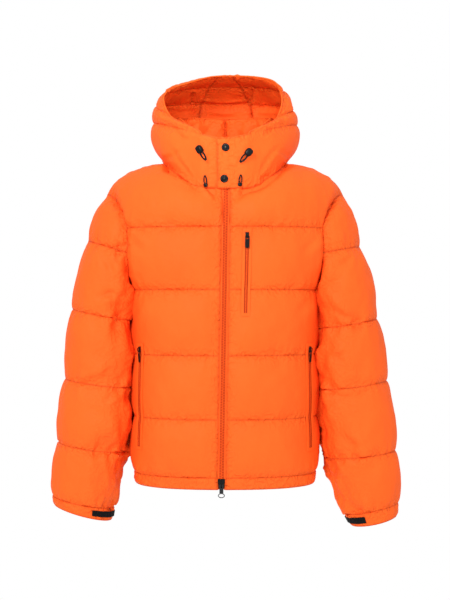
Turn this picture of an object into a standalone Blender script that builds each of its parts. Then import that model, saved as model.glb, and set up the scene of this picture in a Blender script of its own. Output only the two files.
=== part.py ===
"""A hooded puffer jacket, filled out as if worn: quilted shell, hood, collar, zips and cords.

Sizes are in millimetres and become metres as each mesh is made. +Z is up, the front faces -Y,
and +X is the wearer's left. The origin is the base of the neck, where the shoulders carry it.
"""

import math

import bmesh
import bpy
import numpy as np
from mathutils import Matrix, Vector
from mathutils.bvhtree import BVHTree

MM = 0.001
SEAM_WALL = 3.0  # thickness of the cloth where it is sewn down
SEAM_GAP = 0.25  # each panel stops this far short of its seam
CHANNELS = (0, 0.12, 0.35, 0.65, 0.88, 1)  # rows across one quilted channel
ROUND = 2.4  # exponent of the body's rings, 2 is an ellipse

# Body rings: height, half width at the side seam, depth in front, depth behind.
BODY_RINGS = (
    (-661, 187, 142, 143),
    (-638, 189, 145, 146),
    (-522, 190, 149, 148),
    (-394, 189, 150, 148),
    (-262, 193, 148, 150),
    (-136, 212, 141, 144),
)
QUILT_LEVELS = (-638, -522, -394, -262, -136)
CHEST_ROWS = (0, 0.12, 0.35, 0.6, 0.75, 0.9, 1)  # rows of the channel beside the armhole
FRONT_COLUMNS = (0, 0.135, 0.228, 0.38, 0.55, 0.71, 0.859, 0.937, 0.985, 1)
BACK_COLUMNS = (0, 0.17, 0.34, 0.5, 0.64, 0.78, 0.89, 0.96, 1)
FRONT_NECK, BACK_NECK = 5, 4  # the column that ends at the neck side of the shoulder
SHOULDER_SHARES = (0, 0.35, 0.65, 0.87, 1)
BODY_PUFF = 12.0
BESIDE_NECK = 0.45  # how full the first row beside the neck seam is
YOKE_FULLNESS = 1.15  # how far the yoke rounds out between the chest and the shoulder

# Neckline of one half from the centre front round to the centre back: x, y, z.
NECKLINE = (
    (9, -124, -58),
    (33, -123, -58),
    (50, -121, -57),
    (70, -113, -49),
    (106, -74, -20),
    (130, 0, 3),
    (125, 50, 11),
    (99, 86, 13),
    (56, 107, 11),
    (0, 114, 9),
)
SHOULDER_LINE = ((130, 3), (164, -6), (202, -23), (228, -41), (247, -62))  # x, z

ARMPIT_X, ARMPIT_Z = 193.0, -262.0
ARMHOLE_MIDDLE = (205.0, 6.0, -162.0)
ARMHOLE_HALF_HEIGHT = 100.0
ARMHOLE_FRONT, ARMHOLE_BACK = 84.0, 96.0
ARMHOLE_WAIST = 118.0  # angle above which the armhole turns out over the shoulder
YOKE_ANGLE = 105.0  # angle round the armhole, from the armpit, where the yoke starts
SLEEVE_TOP_ANGLE = 114.0

# Sleeve levels: outer x, outer z, inner x, inner z, middle y, half depth.
SLEEVES = {
    "right": (
        (319, -302, 210, -325, 4, 84),
        (334, -447, 211, -465, 0, 80),
        (348, -579, 212, -600, -4, 76),
        (360, -690, 233, -716, -8, 64),
        (357, -708, 237, -741, -9, 62),
    ),
    "left": (
        (318, -322, 210, -342, 4, 84),
        (338, -451, 211, -469, 0, 80),
        (356, -596, 212, -612, -4, 76),
        (362, -704, 250, -728, -8, 63),
        (359, -731, 264, -753, -9, 60),
    ),
}
SLEEVE_CAPS = {"right": (287, -160, 304, -236), "left": (282, -172, 302, -246)}
SLEEVE_PUFF = 9.0
SLEEVE_COLUMNS = 16
SLEEVE_SET_BACK = 6.0  # middle of the sleeve's top behind the middle of the body
ARMPIT_HALF_DEPTH = 90.0
ARMPIT_SHARE = 0.5  # how far across its channel the sleeve passes the armpit
# How far the inner side is pressed towards the body, by column from the inner side, in front then behind.
SLEEVE_NEST = {1: 3.0, 2: 7.0, 3: 3.0, 13: 13.0, 14: 25.0, 15: 12.0}
NEST_LEVELS = (0.9, 1.0, 0.8, 0.0)  # at each sleeve level below the armpit
CUFF_SHARES = (0, 0.25, 0.75, 1)
TAB_COLUMNS = (-2, 3)
TAB_LIFT, TAB_THICK = 0.5, 1.8
QUILT_ONE_ROW = 3  # the chest row, counted from the armpit, that the sleeve's first line meets

# Hood lines over one half, from the front edge to the centre back: column, x, y, z.
HOOD_COLUMNS = 10
HOOD_LINES = {
    "right": (
        ((0, 9, -136, 40), (2, 48, -130, 49), (3, 78, -108, 60),
         (5, 143, 2, 88), (7, 112, 118, 86), (9, 0, 158, 82)),
        ((2, 112, -62, 98), (3, 124, -42, 106), (5, 138, 18, 124), (7, 96, 116, 142), (9, 0, 146, 148)),
        ((2, 122, -40, 138), (3, 121, -22, 144), (5, 108, 22, 156), (7, 66, 80, 171), (9, 0, 98, 176)),
        ((2, 115, -28, 150), (3, 100, -18, 158), (5, 66, 4, 172), (7, 31, 18, 184), (9, 0, 22, 187)),
    ),
    "left": (
        ((0, 9, -136, 40), (2, 48, -130, 49), (3, 78, -108, 60),
         (5, 144, 2, 84), (7, 112, 118, 84), (9, 0, 158, 82)),
        ((2, 106, -64, 92), (3, 120, -44, 100), (5, 136, 16, 116), (7, 98, 114, 140), (9, 0, 146, 148)),
        ((2, 114, -40, 132), (3, 117, -22, 142), (5, 112, 22, 158), (7, 68, 80, 173), (9, 0, 98, 176)),
        ((2, 112, -26, 148), (3, 105, -16, 165), (5, 78, 4, 180), (7, 34, 18, 186), (9, 0, 22, 187)),
    ),
}
HOOD_ROWS = (
    (0, 0.12, 0.35, 0.65, 0.88, 1),
    (0, 0.15, 0.5, 0.85, 1),
    (0, 0.15, 0.5, 0.85, 1),
    (0, 0.3, 0.7, 1),
)
HOOD_PUFFS = (14.0, 9.0, 8.0, 7.0)
RIM_COLUMN, FLAP_SEAM, CENTRE_SEAM = 2, 3, 8
FLAP_LIFT = 5.0  # the outer flap lies this far in front of the inner one
FLAP_OVERLAP = 15.0

# Top edge of the collar over one half, at the neckline's columns: x, y, z.
COLLAR_TOP = (
    (9, -104, 34),
    (33, -101, 38),
    (50, -96, 46),
    (66, -84, 62),
    (90, -50, 88),
    (99, 0, 99),
    (93, 42, 104),
    (74, 66, 107),
    (40, 80, 108),
    (0, 84, 108),
)
COLLAR_SHARES = (0, 0.14, 0.4, 0.7, 0.92, 1)
COLLAR_PUFF = 5.0
COLLAR_SET_IN = SEAM_WALL + 0.9  # the collar's foot inside the neck seam
COLLAR_BULGE = 0.25

ZIP_TOP_X, ZIP_BOTTOM_X = 2.0, -7.0
ZIP_CHANNEL_HALF = 9.0
CHAIN = (4.0, 1.6)  # half width of the teeth, and how far they stand out of the tape
TAPE_THICK = 1.6
# Across a zip: offset from its middle, and whether the chain is there.
ZIP_PROFILE = ((-8.2, 0), (-4.4, 0), (-4.0, 1), (4.0, 1), (4.4, 0), (8.2, 0))
ZIP_SET_BACK = 1.2  # the tape's face behind the level of the seams
ZIP_SLIDER_Z = -648.5
SLIDER_CLEARANCE = 0.5
COLLAR_ZIP_TOP, COLLAR_ZIP_BOTTOM = 28.0, -46.0
COLLAR_ZIP_SET_BACK = 0.6

SNAP_RADIUS, SNAP_RISE = 8.0, 2.6
SNAPS = (("snap_upper", 1.0, 22.0), ("snap_lower", -1.5, -40.0))

# Pockets on the fronts: side, first column, lowest height, highest height.
POCKETS = {
    "chest": (1, 1, -315, -141),
    "hand_right": (-1, 6, -588, -371),
    "hand_left": (1, 6, -590, -371),
}
WELT_SHARES = (0.0, 0.3, 0.7, 1.0)
ZIP_SHARES = (0.33, 0.44, 0.56, 0.67)
WELT_LIFT, WELT_THICK = 0.6, 1.7
WELT_END = 6.0
POCKET_SLIDER_Z = {"chest": -154.0, "hand_right": -384.0, "hand_left": -384.0}

SLIDER_PLATE = 1.6
ARCH_WIDTH, ARCH_LENGTH, ARCH_HEIGHT, ARCH_THICK = 2.2, 8.0, 3.4, 1.0
PULL_THICK = 1.4
EYE_LENGTH = 5.6
BAR_PLAY = 0.45  # between the pull's bar and the arch's lower foot
# Width and length of each slider, then of its pull.
MAIN_SLIDER, MAIN_PULL = (14.0, 19.0), (8.0, 18.0)
POCKET_SLIDER, POCKET_PULL = (7.6, 11.0), (6.2, 24.0)
COLLAR_SLIDER = (12.0, 12.0)
POCKET_CHAIN = (1.6, 0.3)
REST_GAP = 0.35
RING_WIDE, RING_HIGH, RING_WIRE = 14.0, 10.0, 1.8

# Drawcord pieces: x, z, tilt, then width, length and depth of the toggle, and the loop's width and length.
CORD_LOCKS = {
    "lock_right": (-45.6, 13, -40, 11, 13, 8, 10.6, 17),
    "lock_left": (42.3, 8, 42, 11, 13, 8, 10.6, 17),
    "cord_end_right": (-38.4, -55, -3, 6.6, 6, 5.5, 8.6, 14.2),
    "cord_end_left": (29.5, -54, 5, 6.6, 6, 5.5, 8.6, 14.2),
}
CORD_THICK = {"lock": 2.2, "cord": 1.6}
CORD_POINTS = 15
LOOP_GAP = 0.9

CLOTH = (1.0, 0.19, 0.03)
BLACK = (0.012, 0.012, 0.013)
GUNMETAL = (0.05, 0.05, 0.055)
SILVER = (0.6, 0.6, 0.6)


def smooth(keys, values, at):
    """A cubic curve through the rows of a table."""
    keys = np.asarray(keys, float)
    values = np.asarray(values, float)
    slopes = np.gradient(values, keys, axis=0)
    i = int(min(max(np.searchsorted(keys, at) - 1, 0), len(keys) - 2))
    span = keys[i + 1] - keys[i]
    t = (at - keys[i]) / span
    return (
        (2 * t**3 - 3 * t**2 + 1) * values[i]
        + (t**3 - 2 * t**2 + t) * span * slopes[i]
        + (3 * t**2 - 2 * t**3) * values[i + 1]
        + (t**3 - t**2) * span * slopes[i + 1]
    )


def unit(vector):
    return vector / max(np.linalg.norm(vector), 1e-9)


def crown(t):
    """Height of a quilted channel across its width, 0 at both lines of stitches and 1 between."""
    return math.sin(math.pi * min(max(t, 0.0), 1.0)) ** 0.6 if 0 < t < 1 else 0.0


def ease(t):
    t = min(max(t, 0.0), 1.0)
    return t * t * (3 - 2 * t)


def zip_x(z):
    """Where the front zip's middle runs at a height."""
    share = (z - QUILT_LEVELS[0]) / (NECKLINE[0][2] - QUILT_LEVELS[0])
    return ZIP_BOTTOM_X + (ZIP_TOP_X - ZIP_BOTTOM_X) * share


def ring(z):
    table = np.array(BODY_RINGS, float)
    return smooth(table[:, 0], table[:, 1:], z)


def armhole(angle, face):
    """A point on the armhole of the wearer's left, by its angle from the armpit; face is -1 in front."""
    turn = math.radians(angle)
    over = max(0.0, (angle - ARMHOLE_WAIST) / (180 - ARMHOLE_WAIST))
    x = ARMPIT_X + 8 * min(angle, ARMHOLE_WAIST) / ARMHOLE_WAIST + 46 * over
    depth = ARMHOLE_FRONT if face < 0 else ARMHOLE_BACK
    z = ARMHOLE_MIDDLE[2] - ARMHOLE_HALF_HEIGHT * math.cos(turn)
    return np.array((x, face * depth * math.sin(turn), z))


def armhole_angle(z):
    return math.degrees(math.acos(min(1, max(-1, (ARMHOLE_MIDDLE[2] - z) / ARMHOLE_HALF_HEIGHT))))


def armhole_direction(point):
    """Outward at the armhole, for a point of the wearer's left."""
    return unit(np.asarray(point) - np.array(ARMHOLE_MIDDLE))


def on_side(point, side):
    return np.array((point[0] * side, point[1], point[2]))


class Patch:
    """A sheet of points with faces between them: one panel of cloth at the level of its seams."""

    def __init__(self, name):
        self.name = name
        self.points = []
        self.puffs = []
        self.fixed = {}
        self.faces = []
        self.grid = {}

    def add(self, key, point, puff=0.0, direction=None):
        self.grid[key] = len(self.points)
        if direction is not None:
            self.fixed[len(self.points)] = direction
        self.points.append(np.asarray(point, float))
        self.puffs.append(puff)

    def cell(self, a, b, c, d, flip=False):
        corners = [self.grid[k] for k in (a, b, c, d)]
        self.faces.append(corners[::-1] if flip else corners)

    def spot(self, point):
        return tuple(np.round(point, 2))


def face_normal(points, face):
    a, b, c, d = (points[i] for i in face)
    return np.cross(c - a, d - b)


def joined_normals(patches):
    """Each point's outward direction, shared by the panels that meet there."""
    total = {}
    for patch in patches:
        for face in patch.faces:
            normal = face_normal(patch.points, face)
            for i in face:
                spot = patch.spot(patch.points[i])
                total[spot] = total.get(spot, np.zeros(3)) + normal
    for patch in patches:
        patch.normals = [unit(total[patch.spot(p)]) for p in patch.points]
        for i, direction in patch.fixed.items():
            patch.normals[i] = direction


def boundary(faces):
    """Edges used once, each in the direction in which its face runs, with that face."""
    seen = {}
    for face in faces:
        for a, b in zip(face, list(face[1:]) + [face[0]]):
            seen[(a, b)] = face
    return {edge: face for edge, face in seen.items() if edge[::-1] not in seen}


def wall_points(patch, gap=SEAM_GAP, thick=SEAM_WALL):
    """Outer and inner points of a panel's wall, pulled back from its seams by the gap."""
    points = [p.copy() for p in patch.points]
    pulls = [np.zeros(3) for _ in points]
    for (a, b), face in boundary(patch.faces).items():
        along = unit(patch.points[b] - patch.points[a])
        middle = sum(patch.points[i] for i in face) / 4
        inward = middle - (patch.points[a] + patch.points[b]) / 2
        inward = unit(inward - along * np.dot(inward, along))
        pulls[a] += inward
        pulls[b] += inward
    for i, pull in enumerate(pulls):
        size = np.linalg.norm(pull)
        if size > 1e-6:
            points[i] += pull / size * gap * min(1.5, 2 / size)
    outer = [p + n * h for p, n, h in zip(points, patch.normals, patch.puffs)]
    inner = [p - n * thick for p, n in zip(points, patch.normals)]
    return outer, inner


def make_material(name, colour, roughness, metallic=0.0):
    material = bpy.data.materials.get(name) or bpy.data.materials.new(name)
    material.use_nodes = True
    shader = material.node_tree.nodes["Principled BSDF"]
    shader.inputs["Base Color"].default_value = (*colour, 1)
    shader.inputs["Roughness"].default_value = roughness
    shader.inputs["Metallic"].default_value = metallic
    return material


def face_outward(mesh):
    """Turns every face of a closed mesh so that it looks out."""
    shape = bmesh.new()
    shape.from_mesh(mesh)
    bmesh.ops.recalc_face_normals(shape, faces=shape.faces)
    shape.to_mesh(mesh)
    shape.free()
    mesh.update()


def make_object(name, points, faces, material, origin=(0, 0, 0), smooth_shading=True):
    """A mesh object from points in millimetres, with its own origin."""
    mesh = bpy.data.meshes.new(name)
    place = np.asarray(origin, float)
    mesh.from_pydata([tuple((np.asarray(p) - place) * MM) for p in points], [], faces)
    face_outward(mesh)
    if smooth_shading:
        mesh.shade_smooth()
        mesh.set_sharp_from_angle(angle=math.radians(40))
    obj = bpy.data.objects.new(name, mesh)
    obj.location = tuple(place * MM)
    obj.data.materials.append(material)
    bpy.context.scene.collection.objects.link(obj)
    return obj


def split_quad(points, face):
    """A quad as two triangles, cut along its shorter diagonal."""
    a, b, c, d = face
    if np.linalg.norm(points[a] - points[c]) <= np.linalg.norm(points[b] - points[d]):
        return [(a, b, c), (a, c, d)]
    return [(a, b, d), (b, c, d)]


def make_wall(patch, material, gap=SEAM_GAP, thick=SEAM_WALL):
    """The panel as a closed wall: outer face, inner face and the edges between."""
    outer, inner = wall_points(patch, gap, thick)
    count = len(outer)
    points = outer + inner
    faces = []
    for face in patch.faces:
        for tri in split_quad(points, face):
            faces.append(tri)
            faces.append(tuple(i + count for i in tri[::-1]))
    for a, b in boundary(patch.faces):
        # Both panels at a seam cut its edge along the same diagonal.
        if patch.spot(patch.points[a]) < patch.spot(patch.points[b]):
            faces += [(b, a, b + count), (a, a + count, b + count)]
        else:
            faces += [(b, a, a + count), (b, a + count, b + count)]
    patch.outer = outer
    return make_object(patch.name, points, faces, material)


# ---------------------------------------------------------------- body panels


def body_levels():
    """Rows from the hem seam to the yoke: height, share of its channel, channel number."""
    rows = []
    for channel in range(len(QUILT_LEVELS) - 1):
        low, high = QUILT_LEVELS[channel], QUILT_LEVELS[channel + 1]
        shares = CHEST_ROWS if low == ARMPIT_Z else CHANNELS
        for share in shares[:-1]:
            rows.append((low + (high - low) * share, share))
    rows.append((QUILT_LEVELS[-1], 0.0))
    return rows


def row_end(z, face):
    """Where a row ends: at the side seam, or on the armhole."""
    if z <= ARMPIT_Z:
        return ring(z)[0], 0.0
    point = armhole(armhole_angle(z), face)
    return point[0], abs(point[1])


def row_point(z, share, face, start):
    """A point of a level row; the start is the row's |x| at the centre."""
    _, front_depth, back_depth = ring(z)
    depth = front_depth if face < 0 else back_depth
    end_x, end_y = row_end(z, face)
    if share >= 1:
        return np.array((end_x, face * end_y, z))
    reach = end_x / (1 - (end_y / depth) ** ROUND) ** (1 / ROUND)
    x = start + (end_x - start) * share
    return np.array((x, face * depth * max(0, 1 - (x / reach) ** ROUND) ** (1 / ROUND), z))


def shoulder_point(share):
    table = np.array(SHOULDER_LINE, float)
    x = table[0, 0] + (table[-1, 0] - table[0, 0]) * share
    return np.array((x, 0.0, float(smooth(table[:, 0], table[:, 1:], x)[0])))


def yoke_top(column, face, start):
    """The yoke's upper edge: the neckline, then the shoulder seam."""
    neck_end = FRONT_NECK if face < 0 else BACK_NECK
    if column >= neck_end:
        return shoulder_point(SHOULDER_SHARES[column - neck_end])
    point = np.array(NECKLINE[column if face < 0 else len(NECKLINE) - 1 - column], float)
    if face < 0 and column == 0:
        point[0] = start
    return point


def yoke_point(column, columns, t, face, start):
    """A point of the yoke, on a curve that climbs the chest or back and turns over the shoulder."""
    neck_end = FRONT_NECK if face < 0 else BACK_NECK
    base_z = QUILT_LEVELS[-1]

    def climb(index):
        low = row_point(base_z, columns[index], face, start)
        high = yoke_top(index, face, start)
        length = np.linalg.norm(high - low) * YOKE_FULLNESS
        over = min(1.0, index / neck_end) ** 2
        leave = np.array((0, 0.02 * face, 1.0)) * length
        arrive = unit(np.array((0, -face * (0.15 + 0.85 * over), 1 - 0.85 * over))) * length
        return (
            (2 * t**3 - 3 * t**2 + 1) * low
            + (t**3 - 2 * t**2 + t) * leave
            + (3 * t**2 - 2 * t**3) * high
            + (t**3 - t**2) * arrive
        )

    point = climb(column)
    if column > neck_end:
        weight = SHOULDER_SHARES[column - neck_end] ** 2
        last = len(columns) - 1
        edge = armhole(YOKE_ANGLE + (180 - YOKE_ANGLE) * t, face)
        point = point + weight * (edge - climb(last))
    return point


def pocket_calm(side, column, z):
    """The quilting lies flatter round a pocket."""
    calm = 1.0
    for place, first, low, high in POCKETS.values():
        if place == side and low - 30 <= z <= high + 25:
            away = max(0, first - column, column - first - 1)
            calm = min(calm, (0.25, 0.8, 1)[min(away, 2)])
    return calm


def body_puff(side, column, columns, z, share, face):
    last = len(columns) - 1
    height = BODY_PUFF * crown(share)
    height *= 1 - 0.3 * columns[column] ** 3
    if face < 0:
        height *= (0.1, 0.8)[column] if column < 2 else 1
        height *= pocket_calm(side, column, z)
    if z > ARMPIT_Z - 60 and column >= last - 1:
        height *= 0.0 if column == last and z >= ARMPIT_Z else 0.5
    return height


def yoke_puff(side, column, columns, t, face):
    """The yoke is full over the shoulder and sewn down at the neckline and the armhole."""
    last = len(columns) - 1
    neck_end = FRONT_NECK if face < 0 else BACK_NECK
    if column == last or t <= 0:
        return 0.0
    full = crown(t) if t < 0.5 else 1 - 0.45 * ease(2 * t - 1)
    weight = 0.0 if column <= neck_end else (0.6, 0.9, 0.7)[column - neck_end - 1]
    height = BODY_PUFF * (crown(t) * (1 - weight) + full * weight)
    if weight == 0 and t > 0.8:
        height *= BESIDE_NECK
    return height * ((0.1, 0.8)[column] if face < 0 and column < 2 else 1)


def add_body_half(patch, side, face, columns, centre_key=None):
    """Points of one half of a front or back panel, by row and signed column."""
    last = len(columns) - 1
    levels = body_levels()
    for row, (z, share) in enumerate(levels):
        start = ZIP_CHANNEL_HALF + side * zip_x(z) if face < 0 else 0.0
        for column in range(last + 1):
            if centre_key is not None and column == 0 and side > 0:
                continue
            point = row_point(z, columns[column], face, start)
            direction = None
            if column == last and z >= ARMPIT_Z:
                direction = on_side(armhole_direction(point), side)
            puff = body_puff(side, column, columns, z, share, face)
            patch.add((row, side * column), on_side(point, side), puff, direction)
    for step, t in enumerate(CHANNELS[1:]):
        row = len(levels) + step
        start = ZIP_CHANNEL_HALF + side * zip_x(NECKLINE[0][2]) if face < 0 else 0.0
        for column in range(last + 1):
            if centre_key is not None and column == 0 and side > 0:
                continue
            point = yoke_point(column, columns, t, face, start)
            direction = None
            if column == last:
                direction = on_side(armhole_direction(point), side)
            puff = yoke_puff(side, column, columns, t, face)
            patch.add((row, side * column), on_side(point, side), puff, direction)
    return len(levels) + len(CHANNELS) - 1


def front_patch(side):
    patch = Patch("front_left" if side > 0 else "front_right")
    rows = add_body_half(patch, side, -1, FRONT_COLUMNS)
    for row in range(rows - 1):
        for column in range(len(FRONT_COLUMNS) - 1):
            keys = [(row, column), (row, column + 1), (row + 1, column + 1), (row + 1, column)]
            patch.cell(*[(r, side * c) for r, c in keys], flip=side < 0)
    return patch


def back_patch():
    patch = Patch("back")
    rows = 0
    for side in (-1, 1):
        rows = add_body_half(patch, side, 1, BACK_COLUMNS, centre_key=0)
    last = len(BACK_COLUMNS) - 1
    for row in range(rows - 1):
        for column in range(-last, last):
            patch.cell((row, column), (row, column + 1), (row + 1, column + 1), (row + 1, column), flip=True)
    return patch


def hem_patches():
    """The flat band below the last line of stitches, in three pieces."""
    low, high = BODY_RINGS[0][0], BODY_RINGS[1][0]
    shares = (0, 0.2, 0.8, 1)
    patches = []
    for name, face, sides, columns in (
        ("hem_front_right", -1, (-1,), FRONT_COLUMNS),
        ("hem_front_left", -1, (1,), FRONT_COLUMNS),
        ("hem_back", 1, (-1, 1), BACK_COLUMNS),
    ):
        patch = Patch(name)
        last = len(columns) - 1
        for row, share in enumerate(shares):
            z = low + (high - low) * share
            for side in sides:
                start = ZIP_CHANNEL_HALF + side * zip_x(z) if face < 0 else 0.0
                for column in range(last + 1):
                    if face > 0 and column == 0 and side > 0:
                        continue
                    point = row_point(z, columns[column], face, start)
                    patch.add((row, side * column), on_side(point, side), 2.0 if 0 < share < 1 else 0.0)
        for row in range(len(shares) - 1):
            first = -last if -1 in sides else 0
            final = last if 1 in sides else 0
            for column in range(first, final):
                keys = ((row, column), (row, column + 1), (row + 1, column + 1), (row + 1, column))
                patch.cell(*keys, flip=face > 0)
        patches.append(patch)
    return patches


# ---------------------------------------------------------------- sleeves


def ellipse_arc(front, back, outer, angle, phi):
    """A point on the ellipse that passes through a front point, an outer point and a back point."""
    turn = math.radians(angle)
    middle = (front + back) / 2
    reach = (outer - middle) / (1 + math.cos(turn))
    centre = outer - reach
    half = (back - front) / (2 * max(math.sin(turn), 1e-6))
    spin = math.radians(phi)
    return centre - reach * math.cos(spin) - half * math.sin(spin)


def sleeve_top_angles():
    """Angles along the top of the armhole, at the yoke's rows with a point between each pair."""
    rows = [YOKE_ANGLE + (180 - YOKE_ANGLE) * t for t in CHANNELS[1:]]
    corners = rows + [360 - a for a in rows[-2::-1]]
    angles = [corners[0]]
    for low, high in zip(corners, corners[1:]):
        angles += [(low + high) / 2, high]
    return angles


def armhole_round(phi):
    """A point on the whole armhole, with phi past 180 on its back half."""
    return armhole(phi, -1) if phi <= 180 else armhole(360 - phi, 1)


def sleeve_patch(name, side, which):
    """A sleeve from the armhole to the cuff seam, closed below the armpit."""
    patch = Patch(name)
    columns = SLEEVE_COLUMNS
    top_angles = sleeve_top_angles()
    cap_x, cap_z, pit_x, pit_z = SLEEVE_CAPS[which]
    tip = armhole(180, -1)
    quilt_outer = np.array((cap_x, 0, cap_z), float)
    pit_outer = np.array((pit_x, 0, pit_z), float)
    row = 0
    # The top row lies on the armhole itself, straight between the yoke's rows.
    for column, phi in enumerate(top_angles):
        if column % 2:
            ends = [armhole_round(top_angles[column + k]) for k in (-1, 1)]
            point = (ends[0] + ends[1]) / 2
            direction = (armhole_direction(ends[0]) + armhole_direction(ends[1])) / 2
        else:
            point = armhole_round(phi)
            direction = armhole_direction(point)
        patch.add((row, column), on_side(point, side), 0.0, on_side(direction, side))
    angles_above = [YOKE_ANGLE]
    for share in CHEST_ROWS[-2:QUILT_ONE_ROW - 1:-1]:
        angles_above.append(armhole_angle(ARMPIT_Z + (QUILT_LEVELS[-1] - ARMPIT_Z) * share))
    for step, angle in enumerate(angles_above):
        row += 1
        t = (SLEEVE_TOP_ANGLE - angle) / (SLEEVE_TOP_ANGLE - angles_above[-1])
        outer = tip + (quilt_outer - tip) * t
        channel = t if step < len(angles_above) - 1 else 0.0
        add_sleeve_arc(patch, row, side, angle, outer, t, top_angles, channel)
    chest = QUILT_LEVELS[-1] - ARMPIT_Z
    angles_below = [armhole_angle(ARMPIT_Z + chest * s) for s in CHEST_ROWS[QUILT_ONE_ROW - 1::-1]]
    start_angle = angles_above[-1]
    for angle in angles_below:
        row += 1
        t = 1 - angle / start_angle
        outer = quilt_outer + (pit_outer - quilt_outer) * t
        add_sleeve_arc(patch, row, side, angle, outer, 1.0, top_angles, ARMPIT_SHARE * t)
    pit_row = row
    previous = (pit_x, pit_z, ARMPIT_X, ARMPIT_Z, SLEEVE_SET_BACK, ARMPIT_HALF_DEPTH)
    for index, level in enumerate(SLEEVES[which][:4]):
        shares = (0.3, 0.6, 0.85, 1) if index == 0 else CHANNELS[1:]
        for share in shares:
            row += 1
            values = [a + (b - a) * share for a, b in zip(previous, level)]
            channel = ARMPIT_SHARE + (1 - ARMPIT_SHARE) * share if index == 0 else share
            before, after = (0.0, *NEST_LEVELS)[index], NEST_LEVELS[index]
            nest = before + (after - before) * share
            add_sleeve_ring(patch, row, side, values, channel, nest, row - pit_row)
        previous = level
    patch.pit_row, patch.last_row = pit_row, row
    for r in range(row):
        for column in range(columns):
            a, b = (r, column), (r, column + 1)
            c, d = (r + 1, column + 1), (r + 1, column)
            if r + 1 >= pit_row:
                if column == columns - 1:
                    c = (r + 1, 0)
                    b = (r, 0) if r >= pit_row else b
            patch.cell(a, b, c, d, flip=side > 0)
    return patch


def add_sleeve_arc(patch, row, side, angle, outer, even, top_angles, channel):
    """One row of the sleeve cap, from the front of the armhole over the arm to its back."""
    columns = SLEEVE_COLUMNS
    front, back = armhole(angle, -1), armhole(angle, 1)
    closed = angle < 0.01
    first, last = top_angles[0], top_angles[-1]
    for column in range(columns if closed else columns + 1):
        crowded = (top_angles[column] - first) / (last - first)
        share = crowded + (column / columns - crowded) * even
        phi = angle + (360 - 2 * angle) * share
        if closed:
            half = np.array((0, ARMPIT_HALF_DEPTH, 0))
            middle = np.array((ARMPIT_X, SLEEVE_SET_BACK, ARMPIT_Z))
            reach = (outer + np.array((0, SLEEVE_SET_BACK, 0)) - middle) / 2
            spin = math.radians(phi)
            point = middle + reach - reach * math.cos(spin) - half * math.sin(spin)
            if column == 0:
                point = armhole(0, -1)
        else:
            set_back = np.array((0, SLEEVE_SET_BACK * even, 0))
            point = ellipse_arc(front, back, outer + set_back, angle, phi)
        edge = column in (0, columns)
        direction = on_side(armhole_direction(point), side) if edge else None
        from_edge = min(column, columns - column)
        height = 0.0 if edge else SLEEVE_PUFF * crown(channel) * min(1, 0.55 + from_edge * 0.25)
        if closed and column in (1, columns - 1):
            height *= 0.5
        patch.add((row, column), on_side(point, side), height, direction)


def sleeve_ring_point(values, phi):
    outer_x, outer_z, inner_x, inner_z, middle_y, half_depth = values
    outer = np.array((outer_x, middle_y, outer_z), float)
    inner = np.array((inner_x, middle_y, inner_z), float)
    middle, reach = (outer + inner) / 2, (outer - inner) / 2
    spin = math.radians(phi)
    return middle - reach * math.cos(spin) - np.array((0, half_depth, 0)) * math.sin(spin)


def add_sleeve_ring(patch, row, side, values, channel, nest, below_pit):
    """A closed row; nest is how far its inner side follows the body round."""
    for column in range(SLEEVE_COLUMNS):
        phi = 360 * column / SLEEVE_COLUMNS
        point = sleeve_ring_point(values, phi)
        point[0] -= nest * SLEEVE_NEST.get(column, 0.0)
        height = SLEEVE_PUFF * crown(channel)
        if math.cos(math.radians(phi)) > 0.5:
            height *= 0.55 if below_pit > 3 else 0.2
        patch.add((row, column), on_side(point, side), height)


def cuff_patch(name, side, which):
    patch = Patch(name)
    start, end = SLEEVES[which][3], SLEEVES[which][4]
    for row, share in enumerate(CUFF_SHARES):
        values = [a + (b - a) * share for a, b in zip(start, end)]
        for column in range(SLEEVE_COLUMNS):
            point = sleeve_ring_point(values, 360 * column / SLEEVE_COLUMNS)
            patch.add((row, column), on_side(point, side), 1.5 if 0 < share < 1 else 0.0)
    for row in range(len(CUFF_SHARES) - 1):
        for column in range(SLEEVE_COLUMNS):
            after = (column + 1) % SLEEVE_COLUMNS
            patch.cell((row, column), (row, after), (row + 1, after), (row + 1, column), flip=side > 0)
    return patch


# ---------------------------------------------------------------- hood and collar


def hood_line(which, line, column, side):
    """A point on one of the hood's lines of stitches; line 0 is the neckline."""
    if line == 0:
        point = np.array(NECKLINE[column], float)
        if column == 0:
            point[0] = ZIP_CHANNEL_HALF + side * zip_x(NECKLINE[0][2])
        return point
    table = np.array(HOOD_LINES[which][line - 1], float)
    return smooth(table[:, 0], table[:, 1:], column)


def hood_point(which, line, share, column, side):
    """A point between two lines of stitches, on one smooth curve from the neckline to the rim."""
    if column < RIM_COLUMN:
        low, high = hood_line(which, 0, column, side), hood_line(which, 1, column, side)
        return low + (high - low) * share
    points = [hood_line(which, k, column, side) for k in range(5)]
    steps = [np.linalg.norm(b - a) for a, b in zip(points, points[1:])]
    keys = np.concatenate([[0], np.cumsum(steps)])
    return smooth(keys, points, keys[line] + (keys[line + 1] - keys[line]) * share)


def hood_rows():
    rows = []
    for line, shares in enumerate(HOOD_ROWS):
        for share in shares[:-1]:
            rows.append((line, share))
    rows.append((len(HOOD_ROWS) - 1, 1.0))
    return rows


def hood_puff(line, share, column):
    height = HOOD_PUFFS[line] * crown(share)
    if column <= FLAP_SEAM and line == 0:
        return 1.5 * crown(share) if RIM_COLUMN <= column < FLAP_SEAM else 0.0
    if column == RIM_COLUMN:
        return 0.0
    if line == 0 and share < 0.2:
        height *= BESIDE_NECK
    return height * (0.5 if column in (FLAP_SEAM, CENTRE_SEAM) else 1.0)


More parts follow.
